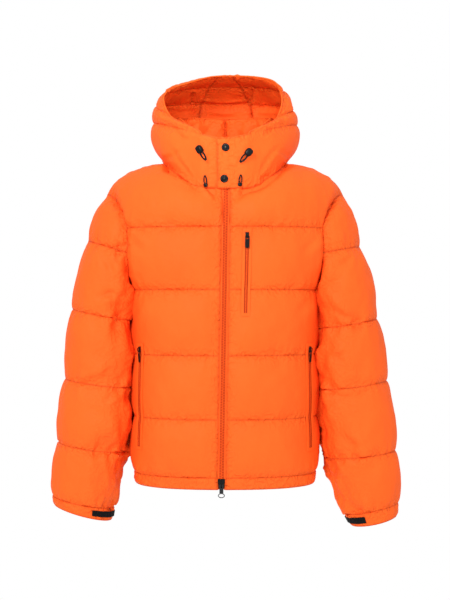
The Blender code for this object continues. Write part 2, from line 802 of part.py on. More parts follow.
def hood_patches():
    """Hood panels: flat fronts, quilted sides and the centre panel that runs from neck to rim."""
    rows = hood_rows()
    first_row_above = len(HOOD_ROWS[0]) - 1
    last = HOOD_COLUMNS - 1
    patches = []
    for side, which in ((-1, "right"), (1, "left")):
        flap = Patch("hood_front_" + which)
        panel = Patch("hood_side_" + which)
        for row, (line, share) in enumerate(rows):
            low_part = row <= first_row_above
            for column in range(RIM_COLUMN, CENTRE_SEAM + 1):
                if low_part and column < FLAP_SEAM and row < first_row_above:
                    continue
                point = hood_point(which, line, share, column, side)
                panel.add((row, column), on_side(point, side), hood_puff(line, share, column))
        for row in range(len(rows) - 1):
            start = FLAP_SEAM if row < first_row_above else RIM_COLUMN
            for column in range(start, CENTRE_SEAM):
                keys = ((row, column), (row, column + 1), (row + 1, column + 1), (row + 1, column))
                panel.cell(*keys, flip=side < 0)
        for row, share in enumerate(HOOD_ROWS[0]):
            for column in range(-1, FLAP_SEAM + 1):
                point, puff = flap_point(which, share, column, side)
                flap.add((row, column), on_side(point, side), puff)
        for row in range(first_row_above):
            for column in range(-1, FLAP_SEAM):
                keys = ((row, column), (row, column + 1), (row + 1, column + 1), (row + 1, column))
                flap.cell(*keys, flip=side < 0)
        patches += [flap, panel]
    centre = Patch("hood_centre")
    for row, (line, share) in enumerate(rows):
        for signed in (-1, 0, 1):
            column = last - abs(signed)
            side = signed if signed else 1
            which = "left" if side > 0 else "right"
            point = hood_point(which, line, share, column, side)
            centre.add((row, signed), on_side(point, side), hood_puff(line, share, column))
    for row in range(len(rows) - 1):
        for column in (-1, 0):
            keys = ((row, column), (row, column + 1), (row + 1, column + 1), (row + 1, column))
            centre.cell(*keys, flip=True)
    patches.append(centre)
    return patches


def flap_point(which, share, column, side):
    """A point of the chin flap; the wearer's left flap lies over the right one."""
    lift = 0.0
    if column < 0:
        point = hood_point(which, 0, share, 0, side)
        point[0] = -FLAP_OVERLAP * (1 if side > 0 else 0.75)
        lift = FLAP_LIFT if side > 0 else 0.0
    else:
        point = hood_point(which, 0, share, column, side)
        if side > 0:
            lift = FLAP_LIFT * (1, 0.85, 0, 0)[column]
    point[1] -= lift
    return point, hood_puff(0, share, max(column, 0))


def collar_patches():
    patches = []
    for side, which in ((-1, "right"), (1, "left")):
        patch = Patch("collar_" + which)
        for column in range(HOOD_COLUMNS):
            base = np.array(NECKLINE[column], float)
            top = np.array(COLLAR_TOP[column], float)
            if column == 0:
                base[0] = ZIP_CHANNEL_HALF + side * zip_x(base[2])
                top[0] = ZIP_CHANNEL_HALF + side * ZIP_TOP_X
            away = COLLAR_SEATS[side][column]
            base = base - on_side(away, side) * COLLAR_SET_IN
            lean = np.array((base[0] - top[0], base[1] - top[1], 0))
            for row, share in enumerate(COLLAR_SHARES):
                bulge = COLLAR_BULGE * math.sin(math.pi * share) * (1 - share)
                full = COLLAR_PUFF * (0.3 if column in (1, HOOD_COLUMNS - 1) else 1.0)
                puff = 0.0 if column == 0 else full * crown(share)
                point = base + (top - base) * share - lean * bulge
                patch.add((row, column), on_side(point, side), puff)
        for row in range(len(COLLAR_SHARES) - 1):
            for column in range(HOOD_COLUMNS - 1):
                keys = ((row, column), (row, column + 1), (row + 1, column + 1), (row + 1, column))
                patch.cell(*keys, flip=side < 0)
        patches.append(patch)
    return patches


COLLAR_SEATS = {}  # by side, where each column of the collar stands
COLLAR_EDGES = {}  # by side, the collar's edge beside the zip


def find_collar_seats(patches):
    """The seam's outward direction at each neckline point, which the collar sits inside."""
    by_spot = {}
    for patch in patches:
        for point, normal in zip(patch.points, patch.normals):
            by_spot[patch.spot(point)] = normal
    for side in (-1, 1):
        seats = []
        for column in range(HOOD_COLUMNS):
            point = on_side(hood_line("left", 0, column, side), side)
            seats.append(by_spot[tuple(np.round(point, 2))])
        COLLAR_SEATS[side] = seats


# ---------------------------------------------------------------- pieces that lie on a panel


def column_spot(patch, side, column, z):
    """A panel's outer point and direction on one of its columns, at a height between its rows."""
    levels = [level for level, _ in body_levels()]
    row = max(i for i in range(len(levels) - 1) if levels[i] <= z)
    share = (z - levels[row]) / (levels[row + 1] - levels[row])
    low, high = patch.grid[(row, side * column)], patch.grid[(row + 1, side * column)]
    point = patch.outer[low] * (1 - share) + patch.outer[high] * share
    return point, unit(patch.normals[low] * (1 - share) + patch.normals[high] * share)


def strip_on(patch, name, side, first, heights, acrosses, lift, hole=None):
    """A piece made from the points of one column of a panel, moved out by lift.

    The heights are its rows, acrosses its columns as shares of the panel's column, and hole
    says which cells stay open.
    """
    piece = Patch(name)
    piece.normals = []
    for row, z in enumerate(heights):
        (low, low_out), (high, high_out) = (column_spot(patch, side, first + k, z) for k in (0, 1))
        for column, share in enumerate(acrosses):
            normal = unit(low_out * (1 - share) + high_out * share)
            piece.add((row, column), low * (1 - share) + high * share + normal * lift)
            piece.normals.append(normal)
    for row in range(len(heights) - 1):
        for column in range(len(acrosses) - 1):
            if hole and hole(row, column):
                continue
            keys = ((row, column), (row, column + 1), (row + 1, column + 1), (row + 1, column))
            piece.cell(*keys)
    return piece


def orient(patch):
    """Turns the faces so that they look the same way as the points' normals."""
    fixed = []
    for face in patch.faces:
        out = np.dot(face_normal(patch.points, face), patch.normals[face[0]])
        fixed.append(list(face) if out > 0 else list(face)[::-1])
    patch.faces = fixed


def pocket_heights(low, high):
    """Rows of a pocket: its ends, and each of the panel's rows between them."""
    heights = [low, low + WELT_END]
    for z, _ in body_levels():
        if low + WELT_END + 3 < z < high - WELT_END - 3:
            heights.append(z)
    return heights + [high - WELT_END, high]


def pocket_pieces(patches, name):
    """Welt and zip of one pocket, and the strip's middle line with its directions."""
    side, first, low, high = POCKETS[name]
    patch = patches["front_left" if side > 0 else "front_right"]
    heights = pocket_heights(low, high)
    last = len(heights) - 2

    def opening(row, column):
        return column == 1 and 0 < row < last

    lift = WELT_LIFT + WELT_THICK
    welt = strip_on(patch, name + "_welt", side, first, heights, WELT_SHARES, lift, opening)
    orient(welt)
    inside = [heights[1] + 0.5] + heights[2:-2] + [heights[-2] - 0.5]
    lift = WELT_LIFT + TAPE_THICK
    zip_strip = strip_on(patch, name + "_zip", side, first, inside, ZIP_SHARES, lift)
    orient(zip_strip)
    line = []
    for row in range(len(inside)):
        ends = [zip_strip.grid[(row, column)] for column in (1, 2)]
        middle = sum(zip_strip.points[i] for i in ends) / 2
        line.append((middle, unit(sum(zip_strip.normals[i] for i in ends))))
    return welt, zip_strip, line


def rounded(width, height, radius, centre=(0, 0), steps=2):
    """An outline with round corners, anticlockwise in x and z as seen from the front."""
    outline = []
    for corner, (sx, sz) in enumerate(((1, 1), (-1, 1), (-1, -1), (1, -1))):
        for step in range(steps + 1):
            turn = math.radians(90 * corner + 90 * step / steps)
            x = centre[0] + sx * (width / 2 - radius) + radius * math.cos(turn)
            z = centre[1] + sz * (height / 2 - radius) + radius * math.sin(turn)
            outline.append((x, z))
    return outline


def join_solids(name, solids, material, matrix):
    """Several overlapping solids as one body, placed by a matrix in millimetres."""
    objects = []
    for index, (points, faces) in enumerate(solids):
        obj = make_object(name if not index else f"{name}_part{index}", points, faces, material)
        objects.append(obj)
    body = objects[0]
    for other in objects[1:]:
        other.hide_render = True
        other.display_type = "WIRE"
        union = body.modifiers.new("join_" + other.name, "BOOLEAN")
        union.operation = "UNION"
        union.object = other
    placed = Matrix(matrix)
    placed.translation *= MM
    for obj in objects:
        obj.matrix_world = placed
    return body


def frame_at(point, outward, up):
    """A matrix in millimetres: local -Y looks outward and +Z climbs."""
    y = -unit(np.asarray(outward, float))
    z = np.asarray(up, float)
    z = unit(z - y * np.dot(z, y))
    x = np.cross(y, z)
    matrix = np.eye(4)
    matrix[:3, 0], matrix[:3, 1], matrix[:3, 2], matrix[:3, 3] = x, y, z, point
    return matrix.tolist()


def arch(width, length, height, thick):
    """A bridge along z, open between its feet, from y = 0 to y = -height."""
    half, inner = length / 2, length / 2 - thick
    side_view = [
        (0.2, -half), (-height + 0.8, -half), (-height, -half + 0.8), (-height, half - 0.8),
        (-height + 0.8, half), (0.2, half), (0.2, inner), (-height + thick, inner),
        (-height + thick, -inner), (0.2, -inner),
    ]
    count = len(side_view)
    points = [(-width / 2, y, z) for y, z in side_view] + [(width / 2, y, z) for y, z in side_view]
    faces = [tuple(range(count)), tuple(range(2 * count - 1, count - 1, -1))]
    for i in range(count):
        j = (i + 1) % count
        faces.append((i, i + count, j + count, j))
    return points, faces


def channel_body(width, length, thick, clearance, chain_half, chain_rise):
    """A slider's front plate with a flange down each side of the chain; y = 0 is the tape's face."""
    top, bottom = length / 2, -length / 2
    rows = ((bottom, 0.84), (bottom + length * 0.45, 0.87), (top - length * 0.15, 1.0), (top, 0.93))
    front = -(chain_rise + clearance + thick)
    under = -(chain_rise + clearance)
    points = []
    for z, share in rows:
        half = width / 2 * share
        wall = max(chain_half + 0.7, half - 1.6)
        points += [
            (-half, -clearance, z), (-half, front + 0.7, z), (-half + 0.9, front, z), (half - 0.9, front, z),
            (half, front + 0.7, z), (half, -clearance, z), (wall, -clearance, z), (wall, under, z),
            (-wall, under, z), (-wall, -clearance, z),
        ]
    count = 10
    faces = [tuple(range(count)), tuple(range(len(points) - 1, len(points) - count - 1, -1))]
    for row in range(len(rows) - 1):
        for i in range(count):
            j = (i + 1) % count
            a = row * count
            faces.append((a + i, a + count + i, a + count + j, a + j))
    return points, faces, front


def make_slider(name, matrix, size, chain, material):
    """A slider over its chain; returns how far out its front plate's face is."""
    points, faces, front = channel_body(*size, SLIDER_PLATE, SLIDER_CLEARANCE, *chain)
    bridge = arch(ARCH_WIDTH, ARCH_LENGTH, ARCH_HEIGHT, ARCH_THICK)
    shifted = [(x, y + front, z) for x, y, z in bridge[0]]
    join_solids(name, [(points, faces), (shifted, bridge[1])], material, matrix)
    return front


def pull_patch(name, width, length):
    """A flat pull with a long eye; its axis is the middle of the bar above the eye."""
    patch = Patch(name)
    half, eye_half = width / 2, ARCH_WIDTH / 2 + 0.6
    bar = PULL_THICK / 2
    zs = (bar, -bar, -bar - EYE_LENGTH, -bar - EYE_LENGTH - 2.0, -length + 1.5, -length)
    narrow = (0.85, 1.0, 1.0, 1.0, 1.0, 0.75)
    for row, z in enumerate(zs):
        for column, x in enumerate((-half * narrow[row], -eye_half, eye_half, half * narrow[row])):
            patch.add((row, column), (x, -PULL_THICK / 2, z))
    for row in range(len(zs) - 1):
        for column in range(3):
            if row == 1 and column == 1:
                continue
            patch.cell((row, column), (row + 1, column), (row + 1, column + 1), (row, column + 1))
    patch.normals = [np.array((0.0, -1.0, 0.0))] * len(patch.points)
    orient(patch)
    return patch


def make_pull(name, matrix, width, length, material):
    """The pull, with its origin on its hinge axis."""
    patch = pull_patch(name, width, length)
    obj = make_wall(patch, material, gap=0.0, thick=PULL_THICK)
    placed = Matrix(matrix)
    placed.translation *= MM
    obj.matrix_world = placed
    return obj


def ring_loop(width, height, wire, centre_z, segments=14, sides=6):
    """A wire ring, longer across than down."""
    points = []
    faces = []
    for i in range(segments):
        turn = 2 * math.pi * i / segments
        cx, cz = (width - wire) / 2 * math.cos(turn), (height - wire) / 2 * math.sin(turn)
        out = unit(np.array((cx / (width / 2) ** 2, 0, cz / (height / 2) ** 2)))
        for k in range(sides):
            spin = 2 * math.pi * (k + 0.5) / sides
            offset = out * math.cos(spin) * wire / 2 + np.array((0, math.sin(spin) * wire / 2, 0))
            points.append((cx + offset[0], offset[1], centre_z + cz + offset[2]))
    for i in range(segments):
        for k in range(sides):
            a, b = i * sides + k, i * sides + (k + 1) % sides
            c, d = ((i + 1) % segments) * sides + (k + 1) % sides, ((i + 1) % segments) * sides + k
            faces.append((a, b, c, d))
    return points, faces


def turned(profile, segments=14):
    """A solid turned about the local Y axis from (radius, y) rows; the ends are closed."""
    points = []
    faces = []
    for radius, y in profile:
        for i in range(segments):
            turn = 2 * math.pi * i / segments
            points.append((radius * math.cos(turn), y, radius * math.sin(turn)))
    for row in range(len(profile) - 1):
        for i in range(segments):
            j = (i + 1) % segments
            a = row * segments
            faces.append((a + i, a + segments + i, a + segments + j, a + j))
    last = (len(profile) - 1) * segments
    faces.append(tuple(range(segments)))
    faces.append(tuple(range(last + segments - 1, last - 1, -1)))
    return points, faces


def surface_tree(obj):
    """The faces of a finished piece, in millimetres, for laying others on it."""
    points = [tuple(v.co / MM) for v in obj.data.vertices]
    return BVHTree.FromPolygons(points, [tuple(p.vertices) for p in obj.data.polygons])


def seat_on(tree, x, z, reach, tilt=0.0, half_long=None):
    """A frame that rests on the highest point of the cloth within reach of (x, z)."""
    hit, normal, _, _ = tree.ray_cast(Vector((x, -400, z)), Vector((0, 1, 0)))
    outward = np.array(normal) if normal.y < 0 else -np.array(normal)
    up = np.array((math.sin(math.radians(tilt)), 0, math.cos(math.radians(tilt))))
    matrix = np.array(frame_at(np.array(hit), outward, up))
    highest = 0.0
    half_long = half_long or reach
    for step_x in (-1, -0.5, 0, 0.5, 1):
        for step_z in (-1, -0.5, 0, 0.5, 1):
            start = matrix[:3, 3] + matrix[:3, 0] * step_x * reach + matrix[:3, 2] * step_z * half_long
            start = start - matrix[:3, 1] * 30
            found = tree.ray_cast(Vector(start), Vector(matrix[:3, 1]))
            if found[0] is not None:
                highest = max(highest, 30 - found[3])
    matrix[:3, 3] -= matrix[:3, 1] * (highest + REST_GAP)
    return matrix.tolist()


def cord_loop(name, matrix, wide, long, diameter, lift, material):
    """A loop of cord that leaves its toggle, turns round and comes back."""
    frame = Matrix(matrix)
    shares = [i / (CORD_POINTS - 1) for i in range(CORD_POINTS)]
    curve = bpy.data.curves.new(name, "CURVE")
    curve.dimensions = "3D"
    curve.bevel_depth = diameter / 2 * MM
    curve.bevel_resolution = 2
    curve.use_fill_caps = True
    spline = curve.splines.new("POLY")
    spline.points.add(CORD_POINTS - 1)
    for point, share in zip(spline.points, shares):
        turn = math.pi * (2 * share - 1)
        x = (wide - diameter) / 2 * math.sin(turn) * (0.55 - 0.45 * math.cos(turn)) ** 0.35
        z = -long * (0.5 + 0.5 * math.cos(turn))
        x += (diameter * 0.62) * (1 if share > 0.5 else -1) * (1 - math.sin(math.pi * share)) ** 3
        place = frame @ Vector((x, -lift, z))
        point.co = (*(place * MM), 1)
    obj = bpy.data.objects.new(name, curve)
    obj.data.materials.append(material)
    bpy.context.scene.collection.objects.link(obj)
    return obj


# ---------------------------------------------------------------- build


def clear_scene():
    for obj in list(bpy.data.objects):
        bpy.data.objects.remove(obj)


def fill_zip(patch, middles):
    """Both tapes and the raised chain, through the middle points of a zip."""
    for row, (x, y, z) in enumerate(middles):
        for column, (offset, raised) in enumerate(ZIP_PROFILE):
            patch.add((row, column), (x + offset, y, z), CHAIN[1] * raised)
    for row in range(len(middles) - 1):
        for column in range(len(ZIP_PROFILE) - 1):
            patch.cell((row, column), (row, column + 1), (row + 1, column + 1), (row + 1, column))
    patch.normals = [np.array((0.0, -1.0, 0.0))] * len(patch.points)
    orient(patch)


def build_front_zip():
    """Tapes and chain of the front zip, from the hem to the neckline."""
    patch = Patch("front_zip")
    heights = [BODY_RINGS[0][0] + 0.3] + [z for z, _ in body_levels()]
    top = np.array(NECKLINE[0], float)
    rows = [(z, row_point(z, 0, -1, ZIP_CHANNEL_HALF)[1]) for z in heights]
    base = rows[-1]
    for share in (0.35, 0.65, 0.97):
        rows.append((base[0] + (top[2] - base[0]) * share, base[1] + (top[1] - base[1]) * share))
    fill_zip(patch, [(zip_x(z), y + ZIP_SET_BACK, z) for z, y in rows])
    make_wall(patch, make_material("zip_tape", CLOTH, 0.6), gap=0.0, thick=TAPE_THICK)


def build_main_slider():
    metal = make_material("slider_metal", GUNMETAL, 0.35, 0.9)
    silver = make_material("pull_metal", SILVER, 0.3, 1.0)
    ends = [row_point(z, 0, -1, ZIP_CHANNEL_HALF)[1] for z in (BODY_RINGS[0][0], BODY_RINGS[1][0])]
    climb = unit(np.array((0, ends[1] - ends[0], BODY_RINGS[1][0] - BODY_RINGS[0][0])))
    outward = np.array((0, -climb[2], climb[1]))
    share = (ZIP_SLIDER_Z - BODY_RINGS[0][0]) / (BODY_RINGS[1][0] - BODY_RINGS[0][0])
    y = ends[0] + (ends[1] - ends[0]) * share + ZIP_SET_BACK
    place = (zip_x(ZIP_SLIDER_Z), y, ZIP_SLIDER_Z)
    matrix = frame_at(place, outward, climb)
    front = make_slider("zip_slider", matrix, MAIN_SLIDER, CHAIN, metal)
    axis = frame_at(pull_axis(place, outward, climb, front), (0, -1, 0), (0, 0, 1))
    pull = make_pull("zip_pull", axis, *MAIN_PULL, silver)
    hang = -MAIN_PULL[1] - RING_HIGH / 2 + RING_WIRE - 0.2
    ring = make_object("zip_pull_ring", *ring_loop(RING_WIDE, RING_HIGH, RING_WIRE, hang), silver)
    ring.hide_render = True
    ring.display_type = "WIRE"
    ring.matrix_world = pull.matrix_world
    union = pull.modifiers.new("ring", "BOOLEAN")
    union.operation = "UNION"
    union.object = ring


def pull_axis(place, outward, up, front):
    """The pull's bar lies under the arch, against its lower foot."""
    outward, up = unit(np.array(outward, float)), unit(np.array(up, float))
    out = -front + (ARCH_HEIGHT - ARCH_THICK) / 2
    down = ARCH_LENGTH / 2 - ARCH_THICK - PULL_THICK / 2 - BAR_PLAY
    return np.array(place, float) + outward * out - up * down


def build_pockets(patches):
    tape = make_material("pocket_tape", (0.9, 0.14, 0.02), 0.6)
    metal = make_material("pocket_slider", GUNMETAL, 0.4, 0.8)
    rubber = make_material("pocket_pull", BLACK, 0.45)
    for name in POCKETS:
        welt, strip, line = pocket_pieces(patches, name)
        make_wall(welt, make_material(name + "_welt", CLOTH, 0.55), gap=0.0, thick=WELT_THICK)
        make_wall(strip, tape, gap=0.0, thick=TAPE_THICK)
        heights = [p[2] for p, _ in line]
        z = POCKET_SLIDER_Z[name]
        index = max(i for i in range(len(line) - 1) if heights[i] <= z)
        (low, low_out), (high, high_out) = line[index], line[index + 1]
        share = (z - low[2]) / (high[2] - low[2])
        place = low + (high - low) * share
        up = unit(high - low)
        outward = unit(low_out + high_out)
        outward = unit(outward - up * np.dot(outward, up))
        matrix = frame_at(place, outward, up)
        front = make_slider(name + "_slider", matrix, POCKET_SLIDER, POCKET_CHAIN, metal)
        axis = frame_at(pull_axis(place, outward, up, front), outward, up)
        make_pull(name + "_pull", axis, *POCKET_PULL, rubber)


def build_collar_zip():
    """The zip's upper end behind the chin flap, with its second slider at the top."""
    patch = Patch("collar_zip")
    heights = np.linspace(COLLAR_ZIP_BOTTOM, COLLAR_ZIP_TOP, 7)
    rows = []
    for z in heights:
        ys = [float(np.interp(z, COLLAR_EDGES[side][:, 2], COLLAR_EDGES[side][:, 1])) for side in (-1, 1)]
        rows.append((z, sum(ys) / 2 + COLLAR_ZIP_SET_BACK))
    fill_zip(patch, [(ZIP_TOP_X, y, z) for z, y in rows])
    make_wall(patch, make_material("collar_tape", CLOTH, 0.6), gap=0.0, thick=TAPE_THICK)
    low, high = rows[-3], rows[-2]
    lean = unit(np.array((0, high[1] - low[1], high[0] - low[0])))
    place = np.array((ZIP_TOP_X, (low[1] + high[1]) / 2, (low[0] + high[0]) / 2))
    outward = np.array((0, -lean[2], lean[1]))
    matrix = frame_at(place, outward, lean)
    metal = make_material("slider_metal", GUNMETAL, 0.35, 0.9)
    make_slider("collar_slider", matrix, COLLAR_SLIDER, CHAIN, metal)


def build_snaps(tree):
    black = make_material("snap", BLACK, 0.35)
    rows = ((1.0, 0.0), (1.0, 0.46), (0.86, 0.85), (0.55, 1.0))
    profile = [(SNAP_RADIUS * share, -SNAP_RISE * rise) for share, rise in rows]
    for name, x, z in SNAPS:
        matrix = Matrix(seat_on(tree, x, z, SNAP_RADIUS))
        matrix.translation *= MM
        obj = make_object(name, *turned(profile), black)
        obj.matrix_world = matrix


def build_cords(trees):
    black = make_material("toggle", BLACK, 0.4)
    cord = make_material("cord", BLACK, 0.8)
    for name, (x, z, tilt, width, length, depth, wide, long) in CORD_LOCKS.items():
        thick = CORD_THICK[name.split("_")[0]]
        upright = name.startswith("cord_end")
        tree = trees[1 if x > 0 else -1]
        matrix = seat_on(tree, x, z, max(width, wide) / 2, tilt, length / 2 + long)
        outline = rounded(width, length, min(width, length) * 0.32, (0, length / 2))
        lower = [(px * 0.8, pz * 0.86 + length * 0.07) for px, pz in outline]
        count = len(outline)
        layers = ((0.0, lower), (-depth * 0.3, outline), (-depth * 0.7, outline), (-depth, lower))
        points = [(px, y, pz) for y, layer in layers for px, pz in layer]
        faces = [tuple(range(count)), tuple(range(4 * count - 1, 3 * count - 1, -1))]
        for row in range(3):
            for i in range(count):
                j = (i + 1) % count
                a = row * count
                faces.append((a + i, a + count + i, a + count + j, a + j))
        obj = make_object(name, points, faces, black)
        placed = Matrix(matrix)
        placed.translation *= MM
        obj.matrix_world = placed
        loop = np.array(matrix)
        if upright:
            loop[:3, 3] += loop[:3, 2] * (length + LOOP_GAP)
            loop[:3, 0] *= -1
            loop[:3, 2] *= -1
        else:
            loop[:3, 3] -= loop[:3, 2] * LOOP_GAP
        cord_loop(name + "_loop", loop.tolist(), wide, long, thick, depth / 2, cord)


def build_cuff_tabs(patches):
    black = make_material("cuff_tab", BLACK, 0.7)
    for side, which in ((-1, "right"), (1, "left")):
        cuff = patches["cuff_" + which]
        piece = Patch("cuff_tab_" + which)
        piece.normals = []
        for row in (1, 2):
            for column in range(TAB_COLUMNS[0], TAB_COLUMNS[1] + 1):
                index = cuff.grid[(row, column % SLEEVE_COLUMNS)]
                normal = cuff.normals[index]
                piece.add((row, column), cuff.outer[index] + normal * (TAB_LIFT + TAB_THICK))
                piece.normals.append(normal)
        for column in range(*TAB_COLUMNS):
            piece.cell((1, column), (1, column + 1), (2, column + 1), (2, column))
        orient(piece)
        make_wall(piece, black, gap=0.0, thick=TAB_THICK)


def main():
    clear_scene()
    shell = [front_patch(-1), front_patch(1), back_patch()] + hem_patches()
    sleeves = []
    cuffs = []
    for side, which in ((-1, "right"), (1, "left")):
        sleeves.append(sleeve_patch("sleeve_" + which, side, which))
        cuffs.append(cuff_patch("cuff_" + which, side, which))
    hood = hood_patches()
    joined_normals(shell + sleeves + cuffs + hood)
    find_collar_seats(shell + hood)
    collar = collar_patches()
    joined_normals(collar)
    patches = {patch.name: patch for patch in shell + sleeves + cuffs + hood + collar}
    made = {}
    for name, patch in patches.items():
        made[name] = make_wall(patch, make_material(name + "_cloth", CLOTH, 0.55))
    for side, which in ((-1, "right"), (1, "left")):
        panel = patches["collar_" + which]
        edge = [panel.points[panel.grid[(row, 0)]] for row in range(len(COLLAR_SHARES))]
        COLLAR_EDGES[side] = np.array(edge)
    build_front_zip()
    build_main_slider()
    build_pockets(patches)
    build_collar_zip()
    trees = {-1: surface_tree(made["hood_front_right"]), 1: surface_tree(made["hood_front_left"])}
    build_snaps(trees[1])
    build_cords(trees)
    build_cuff_tabs(patches)


if __name__ == "__main__":
    main()
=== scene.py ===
"""Looks of a hooded quilted puffer jacket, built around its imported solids.

The cloth pieces are worked out in millimetres from the same sizes as the solids, puffed out by a
cloth simulation and laid over the frame. +Z is up, the front faces -Y, +X is the wearer's left.
"""

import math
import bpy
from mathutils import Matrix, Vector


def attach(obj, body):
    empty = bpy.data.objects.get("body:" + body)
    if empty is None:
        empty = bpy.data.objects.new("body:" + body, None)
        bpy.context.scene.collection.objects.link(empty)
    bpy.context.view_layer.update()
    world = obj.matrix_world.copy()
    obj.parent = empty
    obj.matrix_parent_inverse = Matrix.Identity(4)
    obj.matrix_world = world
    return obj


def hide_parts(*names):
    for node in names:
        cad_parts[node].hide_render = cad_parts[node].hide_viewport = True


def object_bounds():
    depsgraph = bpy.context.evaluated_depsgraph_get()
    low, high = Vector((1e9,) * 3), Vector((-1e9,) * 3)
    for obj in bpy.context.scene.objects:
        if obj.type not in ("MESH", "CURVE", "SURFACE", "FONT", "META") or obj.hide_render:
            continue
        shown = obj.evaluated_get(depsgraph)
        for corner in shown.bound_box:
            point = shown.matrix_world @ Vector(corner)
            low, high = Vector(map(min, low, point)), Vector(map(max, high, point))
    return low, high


bl_info = {
    "name": "Hooded Puffer Jacket",
    "version": (1, 0, 0),
    "blender": (4, 5, 0),
    "location": "View3D > Sidebar > Jacket",
    "description": "Builds the cloth, zips, cords and stage of a quilted puffer jacket",
    "category": "Object",
}

import bmesh
import bpy
import numpy as np
from bpy.props import FloatProperty, FloatVectorProperty, IntProperty, PointerProperty
from bpy.types import Operator, Panel, PropertyGroup
from mathutils import Matrix, Vector, noise
from mathutils.bvhtree import BVHTree
from mathutils.kdtree import KDTree

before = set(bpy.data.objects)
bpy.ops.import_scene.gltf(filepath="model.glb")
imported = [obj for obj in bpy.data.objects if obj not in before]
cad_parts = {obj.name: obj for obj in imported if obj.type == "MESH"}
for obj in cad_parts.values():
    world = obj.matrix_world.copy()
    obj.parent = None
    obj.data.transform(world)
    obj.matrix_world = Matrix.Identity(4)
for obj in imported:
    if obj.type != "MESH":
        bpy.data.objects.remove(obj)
CAD_LOW, CAD_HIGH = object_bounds()

MM = 0.001
ROOT = "jacket"
SIDES = ((-1, "right"), (1, "left"))  # the wearer's
SEAM_WALL = 3.0  # thickness of the cloth where it is sewn down
CHANNELS = (0, 0.12, 0.35, 0.65, 0.88, 1)  # rows across one quilted channel
ROUND = 2.4  # exponent of the body's rings, 2 is an ellipse

# Body rings: height, half width at the side seam, depth in front, depth behind.
BODY_RINGS = (
    (-661, 187, 142, 143),
    (-638, 189, 145, 146),
    (-522, 190, 149, 148),
    (-394, 189, 150, 148),
    (-262, 193, 148, 150),
    (-136, 212, 141, 144),
)
QUILT_LEVELS = (-638, -522, -394, -262, -136)
CHEST_ROWS = (0, 0.12, 0.35, 0.6, 0.75, 0.9, 1)  # rows of the channel beside the armhole
FRONT_COLUMNS = (0, 0.135, 0.228, 0.38, 0.55, 0.71, 0.859, 0.937, 0.985, 1)
BACK_COLUMNS = (0, 0.17, 0.34, 0.5, 0.64, 0.78, 0.89, 0.96, 1)
FRONT_NECK, BACK_NECK = 5, 4  # the column that ends at the neck side of the shoulder
SHOULDER_SHARES = (0, 0.35, 0.65, 0.87, 1)
BODY_PUFF = 12.0
HEM_SHARES, HEM_PUFF = (0, 0.2, 0.8, 1), 2.0
BESIDE_NECK = 0.45  # how full the first row beside the neck seam is
YOKE_FULLNESS = 1.15  # how far the yoke rounds out between the chest and the shoulder

# Neckline of one half from the centre front round to the centre back: x, y, z.
NECKLINE = (
    (9, -124, -58),
    (33, -123, -58),
    (50, -121, -57),
    (70, -113, -49),
    (106, -74, -20),
    (130, 0, 3),
    (125, 50, 11),
    (99, 86, 13),
    (56, 107, 11),
    (0, 114, 9),
)
SHOULDER_LINE = ((130, 3), (164, -6), (202, -23), (228, -41), (247, -62))  # x, z

ARMPIT_X, ARMPIT_Z = 193.0, -262.0
ARMHOLE_MIDDLE = (205.0, 6.0, -162.0)
ARMHOLE_HALF_HEIGHT = 100.0
ARMHOLE_FRONT, ARMHOLE_BACK = 84.0, 96.0
ARMHOLE_WAIST = 118.0  # angle above which the armhole turns out over the shoulder
YOKE_ANGLE = 105.0  # angle round the armhole, from the armpit, where the yoke starts
SLEEVE_TOP_ANGLE = 114.0

# Sleeve levels: outer x, outer z, inner x, inner z, middle y, half depth.
SLEEVES = {
    "right": (
        (319, -302, 210, -325, 4, 84),
        (334, -447, 211, -465, 0, 80),
        (348, -579, 212, -600, -4, 76),
        (360, -690, 233, -716, -8, 64),
        (357, -708, 237, -741, -9, 62),
    ),
    "left": (
        (318, -322, 210, -342, 4, 84),
        (338, -451, 211, -469, 0, 80),
        (356, -596, 212, -612, -4, 76),
        (362, -704, 250, -728, -8, 63),
        (359, -731, 264, -753, -9, 60),
    ),
}
SLEEVE_CAPS = {"right": (287, -160, 304, -236), "left": (282, -172, 302, -246)}
SLEEVE_PUFF = 9.0
SLEEVE_COLUMNS = 16
SLEEVE_SET_BACK = 6.0  # middle of the sleeve's top behind the middle of the body
ARMPIT_HALF_DEPTH = 90.0
# The sleeve's first closed ring, at the armpit: inner x and z, middle y, half depth.
ARMPIT_RING = (ARMPIT_X, ARMPIT_Z, SLEEVE_SET_BACK, ARMPIT_HALF_DEPTH)
ARMPIT_SHARE = 0.5  # how far across its channel the sleeve passes the armpit
# How far the inner side is pressed towards the body, by column from the inner side, in front then behind.
SLEEVE_NEST = {1: 3.0, 2: 7.0, 3: 3.0, 13: 13.0, 14: 25.0, 15: 12.0}
NEST_LEVELS = (0.9, 1.0, 0.8, 0.0)  # at each sleeve level below the armpit
CUFF_SHARES, CUFF_PUFF = (0, 0.25, 0.75, 1), 1.5
QUILT_ONE_ROW = 3  # the chest row, counted from the armpit, that the sleeve's first line meets

